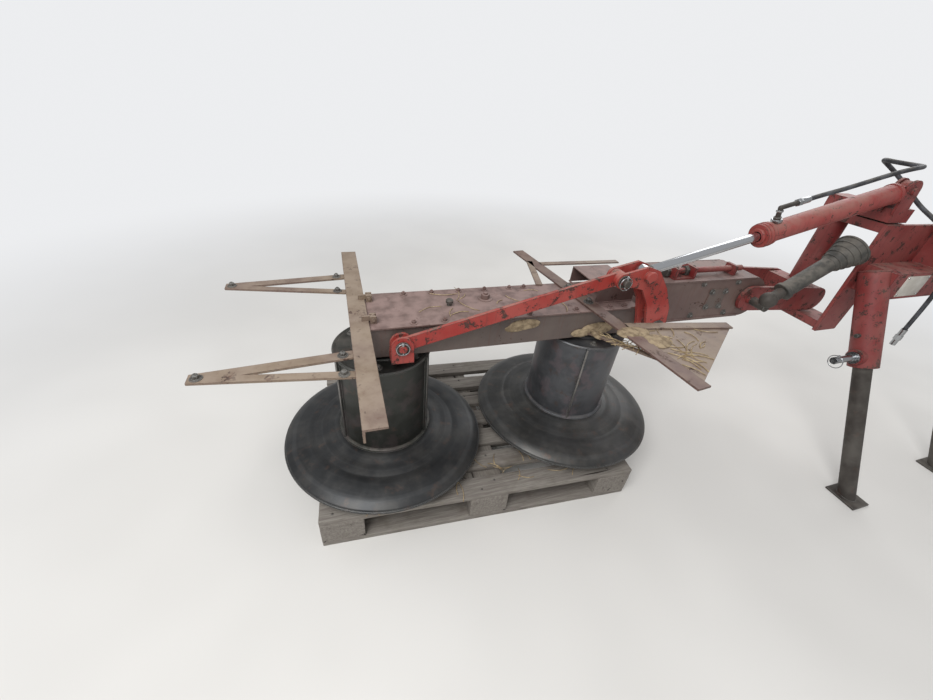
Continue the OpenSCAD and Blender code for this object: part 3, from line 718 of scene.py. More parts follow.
def spun(name: str, profile: Sequence[tuple[float, float]], centre: Triple, towards: Sequence[float] = (0, 0, 1),
         steps: int = 64) -> bpy.types.Object:
    """Spins a closed outline about an axis.

    Args:
        name: The piece's name.
        profile: Radius and height of each corner of the outline, in millimetres.
        centre: The place of height 0 on the axis, in measured millimetres.
        towards: Direction of the axis.
        steps: How many steps the spin has.

    Returns:
        The piece.
    """
    mesh = bpy.data.meshes.new(name)
    count = len(profile)
    mesh.from_pydata([(r * MM, 0, h * MM) for r, h in profile], [(i, (i + 1) % count) for i in range(count)], [])
    piece = bpy.data.objects.new(name, mesh)
    bpy.context.scene.collection.objects.link(piece)
    pick(piece)
    bpy.ops.object.mode_set(mode="EDIT")
    bpy.ops.mesh.select_mode(type="VERT")
    bpy.ops.mesh.select_all(action="SELECT")
    bpy.ops.mesh.spin(steps=steps, angle=math.tau, center=(0, 0, 0), axis=(0, 0, 1))
    bpy.ops.mesh.select_all(action="SELECT")
    bpy.ops.mesh.remove_doubles(threshold=SAME_PLACE)
    bpy.ops.mesh.normals_make_consistent(inside=False)
    bpy.ops.object.mode_set(mode="OBJECT")
    piece.matrix_world = Matrix.Translation(spot(*centre)) @ turned(towards)
    return close_edit(piece)


def join(name: str, pieces: Sequence[bpy.types.Object]) -> bpy.types.Object:
    """Joins pieces that lie at the origin into one.

    Args:
        name: The joined piece's name.
        pieces: What is joined.

    Returns:
        The joined piece.
    """
    fresh()
    for piece in pieces:
        piece.select_set(True)
    bpy.context.view_layer.objects.active = pieces[0]
    if len(pieces) > 1:
        bpy.ops.object.join()
    pieces[0].name = name
    return pieces[0]


def spread(name: str, model: bpy.types.Object, places: Sequence[Place]) -> bpy.types.Object:
    """Puts a copy of a model at each place and joins the copies.

    Args:
        name: The joined piece's name.
        model: The piece to copy, standing upright on the origin. It is taken away at the end.
        places: For each copy its place in measured millimetres, the direction of its top and its turn in degrees.

    Returns:
        The joined copies.
    """
    copies = []
    for place, towards, turn in places:
        copy = model.copy()
        copy.data = model.data.copy()
        bpy.context.scene.collection.objects.link(copy)
        copy.data.transform(Matrix.Translation(spot(*place)) @ turned(towards, turn))
        copies.append(copy)
    bpy.data.objects.remove(model)
    return join(name, copies)


def at_origin(piece: bpy.types.Object) -> bpy.types.Object:
    """Moves a piece made on the measured zero onto the model's own origin, ready to be copied."""
    piece.data.transform(Matrix.Translation(-spot(0, 0, 0)))
    return piece


def hex_bolt(across: float) -> bpy.types.Object:
    """Models a hexagon head on its washer, with the bolt's end on top, standing on the origin.

    Args:
        across: Width over the head's flats, in millimetres.

    Returns:
        The model, to be copied by spread().
    """
    washer_t, sunk = 1.8, 0.3
    head_h, chamfer, washer_r, shank_r, shank_up = (share * across for share in (0.6, 0.07, 0.98, 0.3, 0.22))
    zero = spot(0, 0, 0)
    fresh()
    bpy.ops.mesh.primitive_cylinder_add(vertices=6, radius=across / math.sqrt(3) * MM, depth=head_h * MM,
                                        location=zero + Vector((0, 0, (washer_t + head_h / 2) * MM)))
    head = bpy.context.object
    mesh_edit(head, lambda face: face.normal.z > 0.9)
    bpy.ops.mesh.region_to_loop()
    bpy.ops.mesh.bevel(offset=chamfer * MM, segments=2, affect="EDGES")
    close_edit(head)
    ring = bar("washer", (0, 0, -sunk), (0, 0, washer_t), washer_r, sides=20, bevel=0.5)
    shank = bar("shank", (0, 0, washer_t), (0, 0, washer_t + head_h + shank_up), shank_r, sides=12, bevel=0.6)
    return at_origin(join("hex_bolt", [head, ring, shank]))


def round_head(radius: float) -> bpy.types.Object:
    """Models a low round rivet head, standing on the origin.

    Args:
        radius: Its radius in millimetres.

    Returns:
        The model, to be copied by spread().
    """
    profile = ((0, -0.5), (radius, -0.5), (radius, 0.15 * radius), (0.8 * radius, 0.45 * radius),
               (0.45 * radius, 0.62 * radius), (0, 0.68 * radius))
    return at_origin(spun("round_head", profile, (0, 0, 0), steps=16))


def weld(name: str, corners: Sequence[Triple], radius: float = 2.6) -> bpy.types.Object:
    """Lays a rippled weld bead along straight runs.

    Args:
        name: The piece's name.
        corners: Where the runs meet, in measured millimetres.
        radius: The bead's radius in millimetres.

    Returns:
        The bead.
    """
    sides, ripple, pace = 8, 0.28, 1.5
    route = []
    for start, end in zip(corners, corners[1:]):
        low, high = spot(*start), spot(*end)
        count = max(2, round((high - low).length / (pace * radius * MM)))
        route += [low.lerp(high, i / count) for i in range(count)]
    route.append(spot(*corners[-1]))
    return sweep(name, route, radius * MM, sides, ripple)


def linch_pin(name: str, place: Triple, drop: float, through: Axis) -> bpy.types.Object:
    """Makes a linch pin: a pin across a bigger pin, with its spring ring hung round it.

    Args:
        name: The piece's name.
        place: Where it passes through the bigger pin, in measured millimetres.
        drop: Width of its ring, in millimetres.
        through: The bigger pin's axis.

    Returns:
        The pin and its ring.
    """
    x, y, z = place
    below, above, ring_up, pin_r, wire_r = 19, 24, 19, 3.6, 1.7
    pin = bar("linch", (x, y, z - below), (x, y, z + above), pin_r, sides=14)
    flat = Vector(Axis.Y.value if through is Axis.X else Axis.X.value) * drop * 0.5 * MM
    middle = spot(x, y, z + ring_up - drop * 0.5)
    ring = [middle + flat * math.cos(t) + Vector((0, 0, drop * 0.5 * MM)) * math.sin(t)
            for t in (math.radians(a) for a in range(-80, 281, 15))]
    return join(name, [pin, sweep("ring", ring, wire_r * MM, sides=8)])


def flat_bar(name: str, start: Triple, end: Triple, width: float, thick: float,
             bevel: float = 0.8) -> bpy.types.Object:
    """Makes a flat bar with bevelled edges, its width level.

    Args:
        name: The piece's name.
        start: Middle of its one end in measured millimetres.
        end: Middle of its other end.
        width: Its width in millimetres.
        thick: Its thickness in millimetres.
        bevel: Width of the bevel along its edges, in millimetres.

    Returns:
        The bar.
    """
    low, high = spot(*start), spot(*end)
    run = high - low
    fresh()
    bpy.ops.mesh.primitive_cube_add(size=1, scale=(run.length, width * MM, thick * MM), location=(low + high) / 2,
                                    rotation=(0, -math.asin(run.z / run.length), math.atan2(run.y, run.x)))
    piece = settle(bpy.context.object)
    piece.name = name
    mesh_edit(piece, lambda face: True)
    bpy.ops.mesh.bevel(offset=bevel * MM, segments=2, affect="EDGES")
    return close_edit(piece)


@dataclass(frozen=True)
class Lamp:
    """A soft lamp: where it hangs and what it lights, its width in metres and its power in watts."""

    name: str
    place: Triple
    aim: Triple
    size: float
    power: float

    def hang(self) -> None:
        """Hangs the lamp at its place and turns it to what it lights."""
        data = bpy.data.lights.new(self.name, "AREA")
        data.size, data.energy = self.size, self.power
        lamp = bpy.data.objects.new(self.name, data)
        bpy.context.scene.collection.objects.link(lamp)
        lamp.location = spot(*self.place)
        lamp.rotation_euler = (spot(*self.aim) - spot(*self.place)).to_track_quat("-Z", "Y").to_euler()


@dataclass
class Studio:
    """The camera at the photograph's place, a pale floor and soft light."""

    camera_place: Triple = (-900, -1127, 1384)
    heading: float = -20.4
    pitch: float = 34.74
    roll: float = 5.95
    focal: float = 15.052
    sensor: float = 36.0
    floor_reach: float = 40.0
    floor_tone: str = "dedcd8"
    floor_shade: str = "d6d4d0"
    backdrop_tone: str = "f2f3f5"
    backdrop: float = 0.95
    sky_light: float = 0.55
    pale_from: float = 1.6
    pale_full: float = 5.0
    lamps: tuple[Lamp, ...] = (
        Lamp("key", (-2300, -1800, 3400), (-200, 0, 500), 2.2, 130.0),
        Lamp("fill", (2600, 1500, 2800), (300, 0, 600), 2.6, 55.0))

    def build(self) -> None:
        """Makes the camera, the floor, the lamps and the world."""
        self.make_camera()
        self.make_floor()
        self.make_light()

    def make_camera(self) -> None:
        """Sets the camera that the photograph was taken from."""
        data = bpy.data.cameras.new("camera")
        data.lens, data.sensor_width = self.focal, self.sensor
        camera = bpy.data.objects.new("camera", data)
        bpy.context.scene.collection.objects.link(camera)
        turn = (Matrix.Rotation(math.radians(self.heading), 4, "Z")
                @ Matrix.Rotation(math.radians(90 - self.pitch), 4, "X")
                @ Matrix.Rotation(math.radians(self.roll), 4, "Z"))
        camera.matrix_world = Matrix.Translation(spot(*self.camera_place)) @ turn
        bpy.context.scene.camera = camera

    def make_floor(self) -> None:
        """Lays the pale floor."""
        fresh()
        bpy.ops.mesh.primitive_plane_add(size=2 * self.floor_reach, location=(0, 0, 0))
        floor = settle(bpy.context.object)
        floor.name = "floor"
        floor.data.materials.append(self.floor_material())

    def floor_material(self) -> bpy.types.Material:
        """Makes the floor's finish, which turns as pale as the backdrop far from the mower.

        Returns:
            The material.
        """
        coat = Layers("floor_pale")
        tone = coat.tint(coat.step(coat.noise(900, 2.0), 0.3, 0.7), linear(self.floor_tone),
                         linear(self.floor_shade))
        coat.close(tone, 0.85)
        away = add_node(coat.tree, "ShaderNodeVectorMath", {0: coat.coords}, operation="LENGTH").outputs["Value"]
        seen = add_node(coat.tree, "ShaderNodeLightPath", {}).outputs["Is Camera Ray"]
        pale = add_node(coat.tree, "ShaderNodeEmission", {
            "Color": linear(self.backdrop_tone), "Strength": self.backdrop})
        lit = coat.tree.nodes["Principled BSDF"].outputs[0]
        share = coat.math("MULTIPLY", coat.step(away, self.pale_from, self.pale_full), seen)
        mixed = add_node(coat.tree, "ShaderNodeMixShader", {0: share, 1: lit, 2: pale.outputs[0]})
        coat.tree.links.new(mixed.outputs[0], coat.tree.nodes["Material Output"].inputs["Surface"])
        return coat.material

    def make_light(self) -> None:
        """Hangs two soft lamps and lights the world plainly."""
        scene = bpy.context.scene
        scene.view_settings.view_transform = "Standard"
        world = bpy.data.worlds.new("studio")
        scene.world = world
        world.use_nodes = True
        tree = world.node_tree
        tree.nodes.clear()
        seen = add_node(tree, "ShaderNodeLightPath", {}).outputs["Is Camera Ray"]
        strength = add_node(tree, "ShaderNodeMix", {0: seen, 2: self.sky_light, 3: self.backdrop}, data_type="FLOAT")
        sky = add_node(tree, "ShaderNodeBackground", {
            "Color": linear(self.backdrop_tone), "Strength": strength.outputs[0]})
        add_node(tree, "ShaderNodeOutputWorld", {"Surface": sky.outputs[0]})
        for lamp in self.lamps:
            lamp.hang()


@dataclass
class Hoses:
    """The lift cylinder's hose, in a length that turns with the swing and a length that hangs to its coupler."""

    bore: float = 16.0
    sides: int = 16
    steps: int = 5
    straight: float = 30.0
    pipe_end: Triple = (634.77, -142.0, 1137.13)
    leave: Triple = (0.96716, 0.0, 0.25418)
    port_points: tuple[Triple, ...] = (
        (715, -144, 1159), (780, -150, 1178), (850, -156, 1200), (920, -161, 1222), (985, -165, 1241),
        (1045, -166, 1254), (1100, -161, 1261), (1144, -147, 1262), (1176, -124, 1261), (1190, -92, 1260),
        (1190, -60, 1260))
    supply_points: tuple[Triple, ...] = (
        (1190, -60, 1260), (1190, -28, 1260), (1206, 6, 1260), (1236, 30, 1256), (1274, 34, 1244), (1308, 16, 1222),
        (1330, -20, 1192), (1342, -66, 1156), (1350, -120, 1118), (1357, -180, 1086), (1366, -242, 1052),
        (1374, -292, 1004), (1380, -318, 944), (1384, -328, 880), (1387, -331, 816), (1389, -332, 752),
        (1390, -332, 690), (1390, -332, 660))

    def build(self) -> None:
        """Makes both lengths of hose."""
        start = spot(*self.pipe_end)
        port_route = [start, start + Vector(self.leave) * self.straight * MM, *(spot(*p) for p in self.port_points)]
        coupler = frame["nodes"]["hose_coupler"]
        dress_node("hose_coupler", Finish.BRIGHT_STEEL)
        port = self.lay("port_hose_run", port_route, "port_hose", "object", [])
        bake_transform(port)
        supply = self.lay("supply_hose_run", [spot(*p) for p in self.supply_points], "supply_hose", "connector",
                          [coupler])
        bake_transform(supply)

    def lay(self, name: str, route: Sequence[Vector], node: str, far_end: str,
            with_pieces: list[bpy.types.Object]) -> bpy.types.Object:
        """Makes one length of hose along its route.

        Args:
            name: The piece's name.
            route: The points that it runs through.
            node: The CAD node that it stands for.
            far_end: What is on its far end. It is not used.
            with_pieces: The pieces that go with it. It is not used.

        Returns:
            The hose, riding on no body.
        """
        path = smooth_path(route, self.steps)
        hose = sweep(name, path, self.bore / 2 * MM, self.sides)
        hose.data.materials.append(Finish.BLACK_RUBBER.material())
        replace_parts(hose, node)
        return hose


@dataclass
class Pallet:
    """The pallet's boards, sawn and weathered, with the nails that hold them."""

    middle: Pair = (-435.0, 50.0)
    turn: float = -3.0
    length: float = 1200.0
    width: float = 800.0
    thick: float = 22.0
    deck_top: float = 144.0
    deck_widths: tuple[float, ...] = (80, 78, 82, 76, 80, 78, 82)
    cross_width: float = 145.0
    foot_rows: Outline = ((0, 100), (327.5, 145), (700, 100))
    worn_edge: float = 1.8
    uneven: float = 0.5
    cell: float = 45.0
    nail_at: Pair = (0.3, 0.7)
    nail_r: float = 4.5

    def build(self) -> None:
        """Makes the boards along the pallet, the boards across it and the nails."""
        pitch = (self.width - self.deck_widths[-1]) / (len(self.deck_widths) - 1)
        runs = [(i * pitch, wide, self.deck_top) for i, wide in enumerate(self.deck_widths)]
        runs += [(offset, wide, self.thick) for offset, wide in self.foot_rows]
        long_boards = [self.board((0, y), (self.length, wide), top, i) for i, (y, wide, top) in enumerate(runs)]
        crossings = [i * (self.length - self.cross_width) / 2 for i in range(3)]
        cross_boards = [self.board((x, 0), (self.cross_width, self.width), self.deck_top - self.thick, 20 + i)
                        for i, x in enumerate(crossings)]
        along = dress(self.lay(join("pallet_long_boards", long_boards)), Finish.WOOD_X, Body.BASE)
        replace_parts(along, "pallet_boards")
        across = dress(self.lay(join("pallet_cross_boards", cross_boards)), Finish.WOOD_Y, Body.BASE)
        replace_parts(across, "pallet_boards")
        marks = [(x + self.cross_width * f, i * pitch + wide * f)
                 for x in crossings for i, wide in enumerate(self.deck_widths) for f in self.nail_at]
        places = [((x - self.length / 2, y - self.width / 2, self.deck_top), Axis.Z.value, 0.0) for x, y in marks]
        nails = self.lay(spread("pallet_nails", round_head(self.nail_r), places))
        dress(nails, Finish.DARK_STEEL, Body.BASE)

    def board(self, corner: Pair, size: Pair, top: float, seed: int) -> bpy.types.Object:
        """Makes one worn board about the pallet's middle.

        Args:
            corner: Its lower corner on the pallet, in millimetres.
            size: Its length along and across the pallet.
            top: Height of its upper face.
            seed: Seed of its unevenness.

        Returns:
            The board, not yet turned or moved to the pallet's place.
        """
        low = spot(corner[0] - self.length / 2, corner[1] - self.width / 2, top)
        high = low + Vector((size[0], size[1], 0)) * MM
        cuts = [max(3, round(run / self.cell)) for run in size]
        fresh()
        bpy.ops.mesh.primitive_grid_add(x_subdivisions=cuts[0], y_subdivisions=cuts[1], size=1,
                                        location=(low + high) / 2)
        piece = bpy.context.object
        piece.scale = (size[0] * MM, size[1] * MM, 1)
        settle(piece)
        mesh_edit(piece, lambda face: True)
        bpy.ops.mesh.extrude_region_move(TRANSFORM_OT_translate={"value": (0, 0, -self.thick * MM)})
        bpy.ops.mesh.select_all(action="SELECT")
        bpy.ops.mesh.normals_make_consistent(inside=False)
        bpy.ops.mesh.select_mode(type="EDGE")
        bpy.ops.mesh.select_all(action="DESELECT")
        bpy.ops.mesh.edges_select_sharp(sharpness=math.radians(40))
        bpy.ops.mesh.bevel(offset=self.worn_edge * MM, segments=2, affect="EDGES")
        bpy.ops.mesh.select_all(action="SELECT")
        bpy.ops.transform.vertex_random(offset=self.uneven * MM, uniform=0.2, seed=seed)
        return close_edit(piece, angle=50)

    def lay(self, piece: bpy.types.Object) -> bpy.types.Object:
        """Turns a piece as the pallet is turned and moves it from the measured zero to the pallet's place.

        Args:
            piece: The piece, made about the measured zero.

        Returns:
            The same piece.
        """
        turn = Matrix.Rotation(math.radians(self.turn), 4, "Z")
        piece.data.transform(Matrix.Translation(spot(*self.middle, 0)) @ turn @ Matrix.Translation(-spot(0, 0, 0)))
        return piece


@dataclass
class DrumFittings:
    """What one drum carries: lid collar and bolts, lip, foot ring, worn ribs, and the disc's smooth skin and rim."""

    name: str
    body: Body
    x: float
    drum_finish: Finish
    disc_finish: Finish
    first_rib: float
    collar: Outline = ((70, 610.5), (100, 610.5), (104, 613), (104, 619), (100, 622), (74, 622), (70, 619))
    lip: Outline = ((152, 610.5), (157, 613.5), (163, 613.5), (166.5, 610), (166, 604), (161.5, 600.5))
    foot: Outline = ((160, 256), (171, 256.5), (173.5, 260), (171, 266), (164, 270), (160, 270))
    rim: Outline = ((368, 202), (372, 206), (376, 204.5), (377.5, 200), (375, 196.5), (370, 197.5))
    disc_line: Outline = (
        (161, 258.0), (189.7, 256.3), (215.3, 247.0), (300.5, 236.0), (349.4, 222.0), (370.7, 208.1), (374.6, 200.6))
    skin_top: float = 1.7
    skin_bottom: float = 0.4
    corner_reach: float = 12.0
    groove: Pair = (258.0, 270.0)
    groove_wall: float = 3.0
    groove_depth: float = 1.1
    ring_steps: int = 96
    rim_steps: int = 120
    skin_steps: int = 128
    ribs: int = 3
    rib_at: float = 168.6
    rib_feet: float = 262.0
    rib_tops: float = 604.0
    rib_r: float = 3.6
    lid_bolts: int = 6
    lid_bolts_at: float = 132.0
    lid_bolt_across: float = 14.0
    lid_top: float = 611.0

    def build(self) -> None:
        """Makes the rings, the disc's rim and skin, the ribs' edges and the bolts."""
        self.make_rings()
        self.make_disc()
        self.make_ribs()
        self.make_bolts()

    def around(self, reach: float, angle: float) -> Pair:
        """Gives the place at a distance from the drum's axis and at an angle in radians."""
        return self.x + reach * math.cos(angle), reach * math.sin(angle)

    def make_rings(self) -> None:
        """Makes the collar on the lid, the rolled lip round it and the ring round the drum's foot."""
        centre = (self.x, 0.0, 0.0)
        rings = [spun("collar", self.collar, centre), spun("lip", self.lip, centre, steps=self.ring_steps),
                 spun("foot", self.foot, centre, steps=self.ring_steps)]
        dress(join(self.name + "_drum_rings", rings), self.drum_finish, self.body)

    def make_disc(self) -> None:
        """Makes the disc's rolled rim and its smooth skin."""
        centre = (self.x, 0.0, 0.0)
        rim = spun(self.name + "_disc_rim", self.rim, centre, steps=self.rim_steps)
        dress(rim, self.disc_finish, self.body)
        skin = spun(self.name + "_disc_skin", self.skin_outline(), centre, steps=self.skin_steps)
        dress(skin, self.disc_finish, self.body)

    def make_ribs(self) -> None:
        """Makes the bare edges of the drum's ribs."""
        strips = []
        for i in range(self.ribs):
            x, y = self.around(self.rib_at, math.radians(self.first_rib + 360 / self.ribs * i))
            strips.append(bar("rib_edge", (x, y, self.rib_feet), (x, y, self.rib_tops), self.rib_r, sides=16,
                              bevel=1.2))
        dress(join(self.name + "_rib_edges", strips), Finish.RIB_STEEL, self.body)

    def make_bolts(self) -> None:
        """Makes the bolts on the drum's lid, each left by its wrench at another angle."""
        places = []
        for i in range(self.lid_bolts):
            x, y = self.around(self.lid_bolts_at, math.tau * (i + 0.3) / self.lid_bolts)
            places.append(((x, y, self.lid_top), Axis.Z.value, 17.0 * i))
        bolts = spread(self.name + "_lid_bolts", hex_bolt(self.lid_bolt_across), places)
        dress(bolts, Finish.DARK_STEEL, self.body)

    def skin_outline(self) -> Outline:
        """Gives the outline of a thin skin that follows the disc with its corners rounded.

        Returns:
            Radius and height of its corners, in millimetres.
        """
        line = [self.disc_line[0]]
        for before, corner, after in zip(self.disc_line, self.disc_line[1:], self.disc_line[2:]):
            reach = min(self.corner_reach, 0.45 * (corner[0] - before[0]), 0.45 * (after[0] - corner[0]))
            slope = (corner[1] - before[1]) / (corner[0] - before[0])
            next_slope = (after[1] - corner[1]) / (after[0] - corner[0])
            if before[0] < self.groove[0] < corner[0]:
                line += [(r, before[1] + slope * (r - before[0]) - dip) for r, dip in (
                    (self.groove[0], 0), (self.groove[0] + self.groove_wall, self.groove_depth),
                    (self.groove[1] - self.groove_wall, self.groove_depth), (self.groove[1], 0))]
            for t in (0, 0.25, 0.5, 0.75, 1):
                back, on = reach * (1 - t) ** 2, reach * t ** 2
                line.append((corner[0] - back + on, corner[1] - back * slope + on * next_slope))
        line.append(self.disc_line[-1])
        return (*((r, z + self.skin_top) for r, z in line), *((r, z + self.skin_bottom) for r, z in reversed(line)))


@dataclass
class InnerGuard:
    """Rods, sloping stay and mown-crop plate beside the inner guard bar, which the solids show plainer."""

    rods: tuple[tuple[Triple, Triple, float], ...] = (
        ((-12, -232, 750.3), (384, -290, 750.3), 36), ((-75, 299, 750.3), (320, 290, 750.3), 28),
        ((-170, 104, 750.3), (-110, 328, 750.3), 26), ((-51, -104, 650), (0, -420, 741), 22))
    rod_t: float = 6.0
    plate_corners: Outline = ((-14, -236), (384, -296), (12, -548))
    plate_z: float = 743.3
    plate_t: float = 4.0
    plate_cuts: int = 7

    def build(self) -> None:
        """Makes the rods and the plate."""
        rods = [flat_bar("rod", start, end, wide, self.rod_t) for start, end, wide in self.rods]
        piece = dress(join("inner_guard_rods_worn", rods), Finish.GUARD_BROWN, Body.BEAM)
        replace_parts(piece, "inner_guard_rods")
        mesh = bpy.data.meshes.new("crop_plate")
        mesh.from_pydata([spot(x, y, self.plate_z) for x, y in self.plate_corners], [], [(0, 2, 1)])
        plate = bpy.data.objects.new("crop_plate", mesh)
        bpy.context.scene.collection.objects.link(plate)
        mesh_edit(plate, lambda face: True)
        bpy.ops.mesh.subdivide(number_cuts=self.plate_cuts)
        bpy.ops.mesh.extrude_region_move(TRANSFORM_OT_translate={"value": (0, 0, self.plate_t * MM)})
        bpy.ops.mesh.select_all(action="SELECT")
        bpy.ops.mesh.normals_make_consistent(inside=False)
        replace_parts(dress(close_edit(plate), Finish.GUARD_BROWN, Body.BEAM), "deflector_plate")


@dataclass
class BeamFittings:
    """Bolts, plugs and a weld bead on the gear case, its cover and the input hood."""

    cover_z: float = 747.0
    bar_top: float = 753.3
    front_bolts: tuple[float, ...] = (-700, -600, -500, -400, -300, -120, 20, 84)
    rear_bolts: tuple[float, ...] = (-700, -600, -500, -400, -300, -240)
    row: float = 97.0
    cover_bolt_across: float = 13.0
    clamps: tuple[Triple, ...] = ((-51, -60, 10), (-66, 60, 40))
    clamp_across: float = 19.0
    plug: Triple = (-420, 30, 12)
    plug_across: float = 27.0
    breather: Outline = ((0, -0.5), (9, -0.5), (9, 9), (13, 11), (13, 19), (9, 23), (0, 24))
    breather_x: float = -560.0
    hood_seam: tuple[Triple, ...] = ((138, -61, 748), (-21, -61, 748), (-21, 131, 748), (138, 131, 748))

    def build(self) -> None:
        """Makes the fastenings and the bead. A clamp and the plug have their turn as a third number."""
        up = Axis.Z.value
        places = [((x, -self.row, self.cover_z), up, 1.7 * x) for x in self.front_bolts]
        places += [((x, self.row, self.cover_z), up, 2.3 * x) for x in self.rear_bolts]
        bolts = spread("cover_bolts", hex_bolt(self.cover_bolt_across), places)
        dress(bolts, Finish.BEAM_BROWN, Body.BEAM)
        clamps = spread("guard_bar_bolts", hex_bolt(self.clamp_across),
                        [((x, y, self.bar_top), up, turn) for x, y, turn in self.clamps])
        dress(clamps, Finish.DARK_STEEL, Body.BEAM)
        x, y, turn = self.plug
        plug = spread("filler_plug", hex_bolt(self.plug_across), [((x, y, self.cover_z), up, turn)])
        dress(plug, Finish.BEAM_BROWN, Body.BEAM)
        breather = spun("breather", self.breather, (self.breather_x, 0, self.cover_z), steps=24)
        dress(breather, Finish.DARK_STEEL, Body.BEAM)
        dress(weld("hood_weld", self.hood_seam), Finish.BEAM_BROWN, Body.BEAM)


@dataclass
class LinkageFittings:
    """Pin ends, washers and linch pins of the lift linkage on the beam, and the rocker's weld beads."""

    stay_pin: Pair = (-25.0, 885.0)
    eye_pin: Pair = (67.0, 900.0)
    bracket_pin: Pair = (-745.0, 700.0)
    cheek_y: float = -173.0
    bracket_y: float = -160.2
    washer: Outline = ((13, 0), (22, 0), (22.5, 0.8), (22.5, 2.6), (22, 3.4), (13, 3.4))
    cap: Outline = ((0, -0.5), (20, -0.5), (21, 0.5), (21, 4), (18, 6.5), (0, 7))
    pin_r: float = 12.4
    pin_out: float = 22.0
    hole_out: float = 12.0
    bracket_hole_out: float = 7.8
    ring_wide: float = 44.0
    small_ring_wide: float = 40.0
    back_x: float = 149.0
    back_sides: Pair = (-162.0, -122.0)
    back_seams: Pair = (741.0, 752.0)
    eye_seam_r: float = 17.5

    def build(self) -> None:
        """Makes the fittings of the three pins and the rocker's beads."""
        self.make_stay_pin()
        x, z = self.eye_pin
        cap = spun("eye_pin_cap", self.cap, (x, self.cheek_y - self.hole_out, z), Axis.BACK.value, steps=32)
        dress(cap, Finish.BRIGHT_RED, Body.BEAM)
        x, z = self.bracket_pin
        washer = spun("bracket_pin_washer", self.washer, (x, self.bracket_y, z), Axis.BACK.value, steps=32)
        dress(washer, Finish.DARK_STEEL, Body.BEAM)
        linch = linch_pin("bracket_pin_linch", (x, self.bracket_y - self.bracket_hole_out, z), self.small_ring_wide,
                          Axis.Y)
        dress(linch, Finish.BRIGHT_STEEL, Body.BEAM)
        self.weld_rocker()

    def make_stay_pin(self) -> None:
        """Makes the washer, the end and the linch pin of the pin that holds the stay bar."""
        x, z = self.stay_pin
        y = self.cheek_y
        washer = spun("washer", self.washer, (x, y, z), Axis.BACK.value, steps=32)
        end = bar("end", (x, y + 1, z), (x, y - self.pin_out, z), self.pin_r, sides=28, bevel=1.5)
        dress(join("stay_pin_end", [washer, end]), Finish.DARK_STEEL, Body.BEAM)
        linch = linch_pin("stay_pin_linch", (x, y - self.hole_out, z), self.ring_wide, Axis.Y)
        dress(linch, Finish.BRIGHT_STEEL, Body.BEAM)

    def weld_rocker(self) -> None:
        """Lays the beads across the rocker's back and round the eye pin."""
        beads = [weld("bead", [(self.back_x, y, z) for y in self.back_sides]) for z in self.back_seams]
        x, z = self.eye_pin
        turns = (math.radians(a) for a in range(0, 361, 12))
        ring = [(x + self.eye_seam_r * math.cos(t), self.cheek_y - 0.5, z + self.eye_seam_r * math.sin(t))
                for t in turns]
        beads.append(weld("bead", ring, radius=2.2))
        dress(join("rocker_welds", beads), Finish.BRIGHT_RED, Body.BEAM)


@dataclass(frozen=True)
class Nut:
    """A nut or ferrule by its port, with its ends given by their way past the port and above the barrel's axis."""

    first: Pair
    last: Pair
    radius: float
    sides: int
    bevel: float


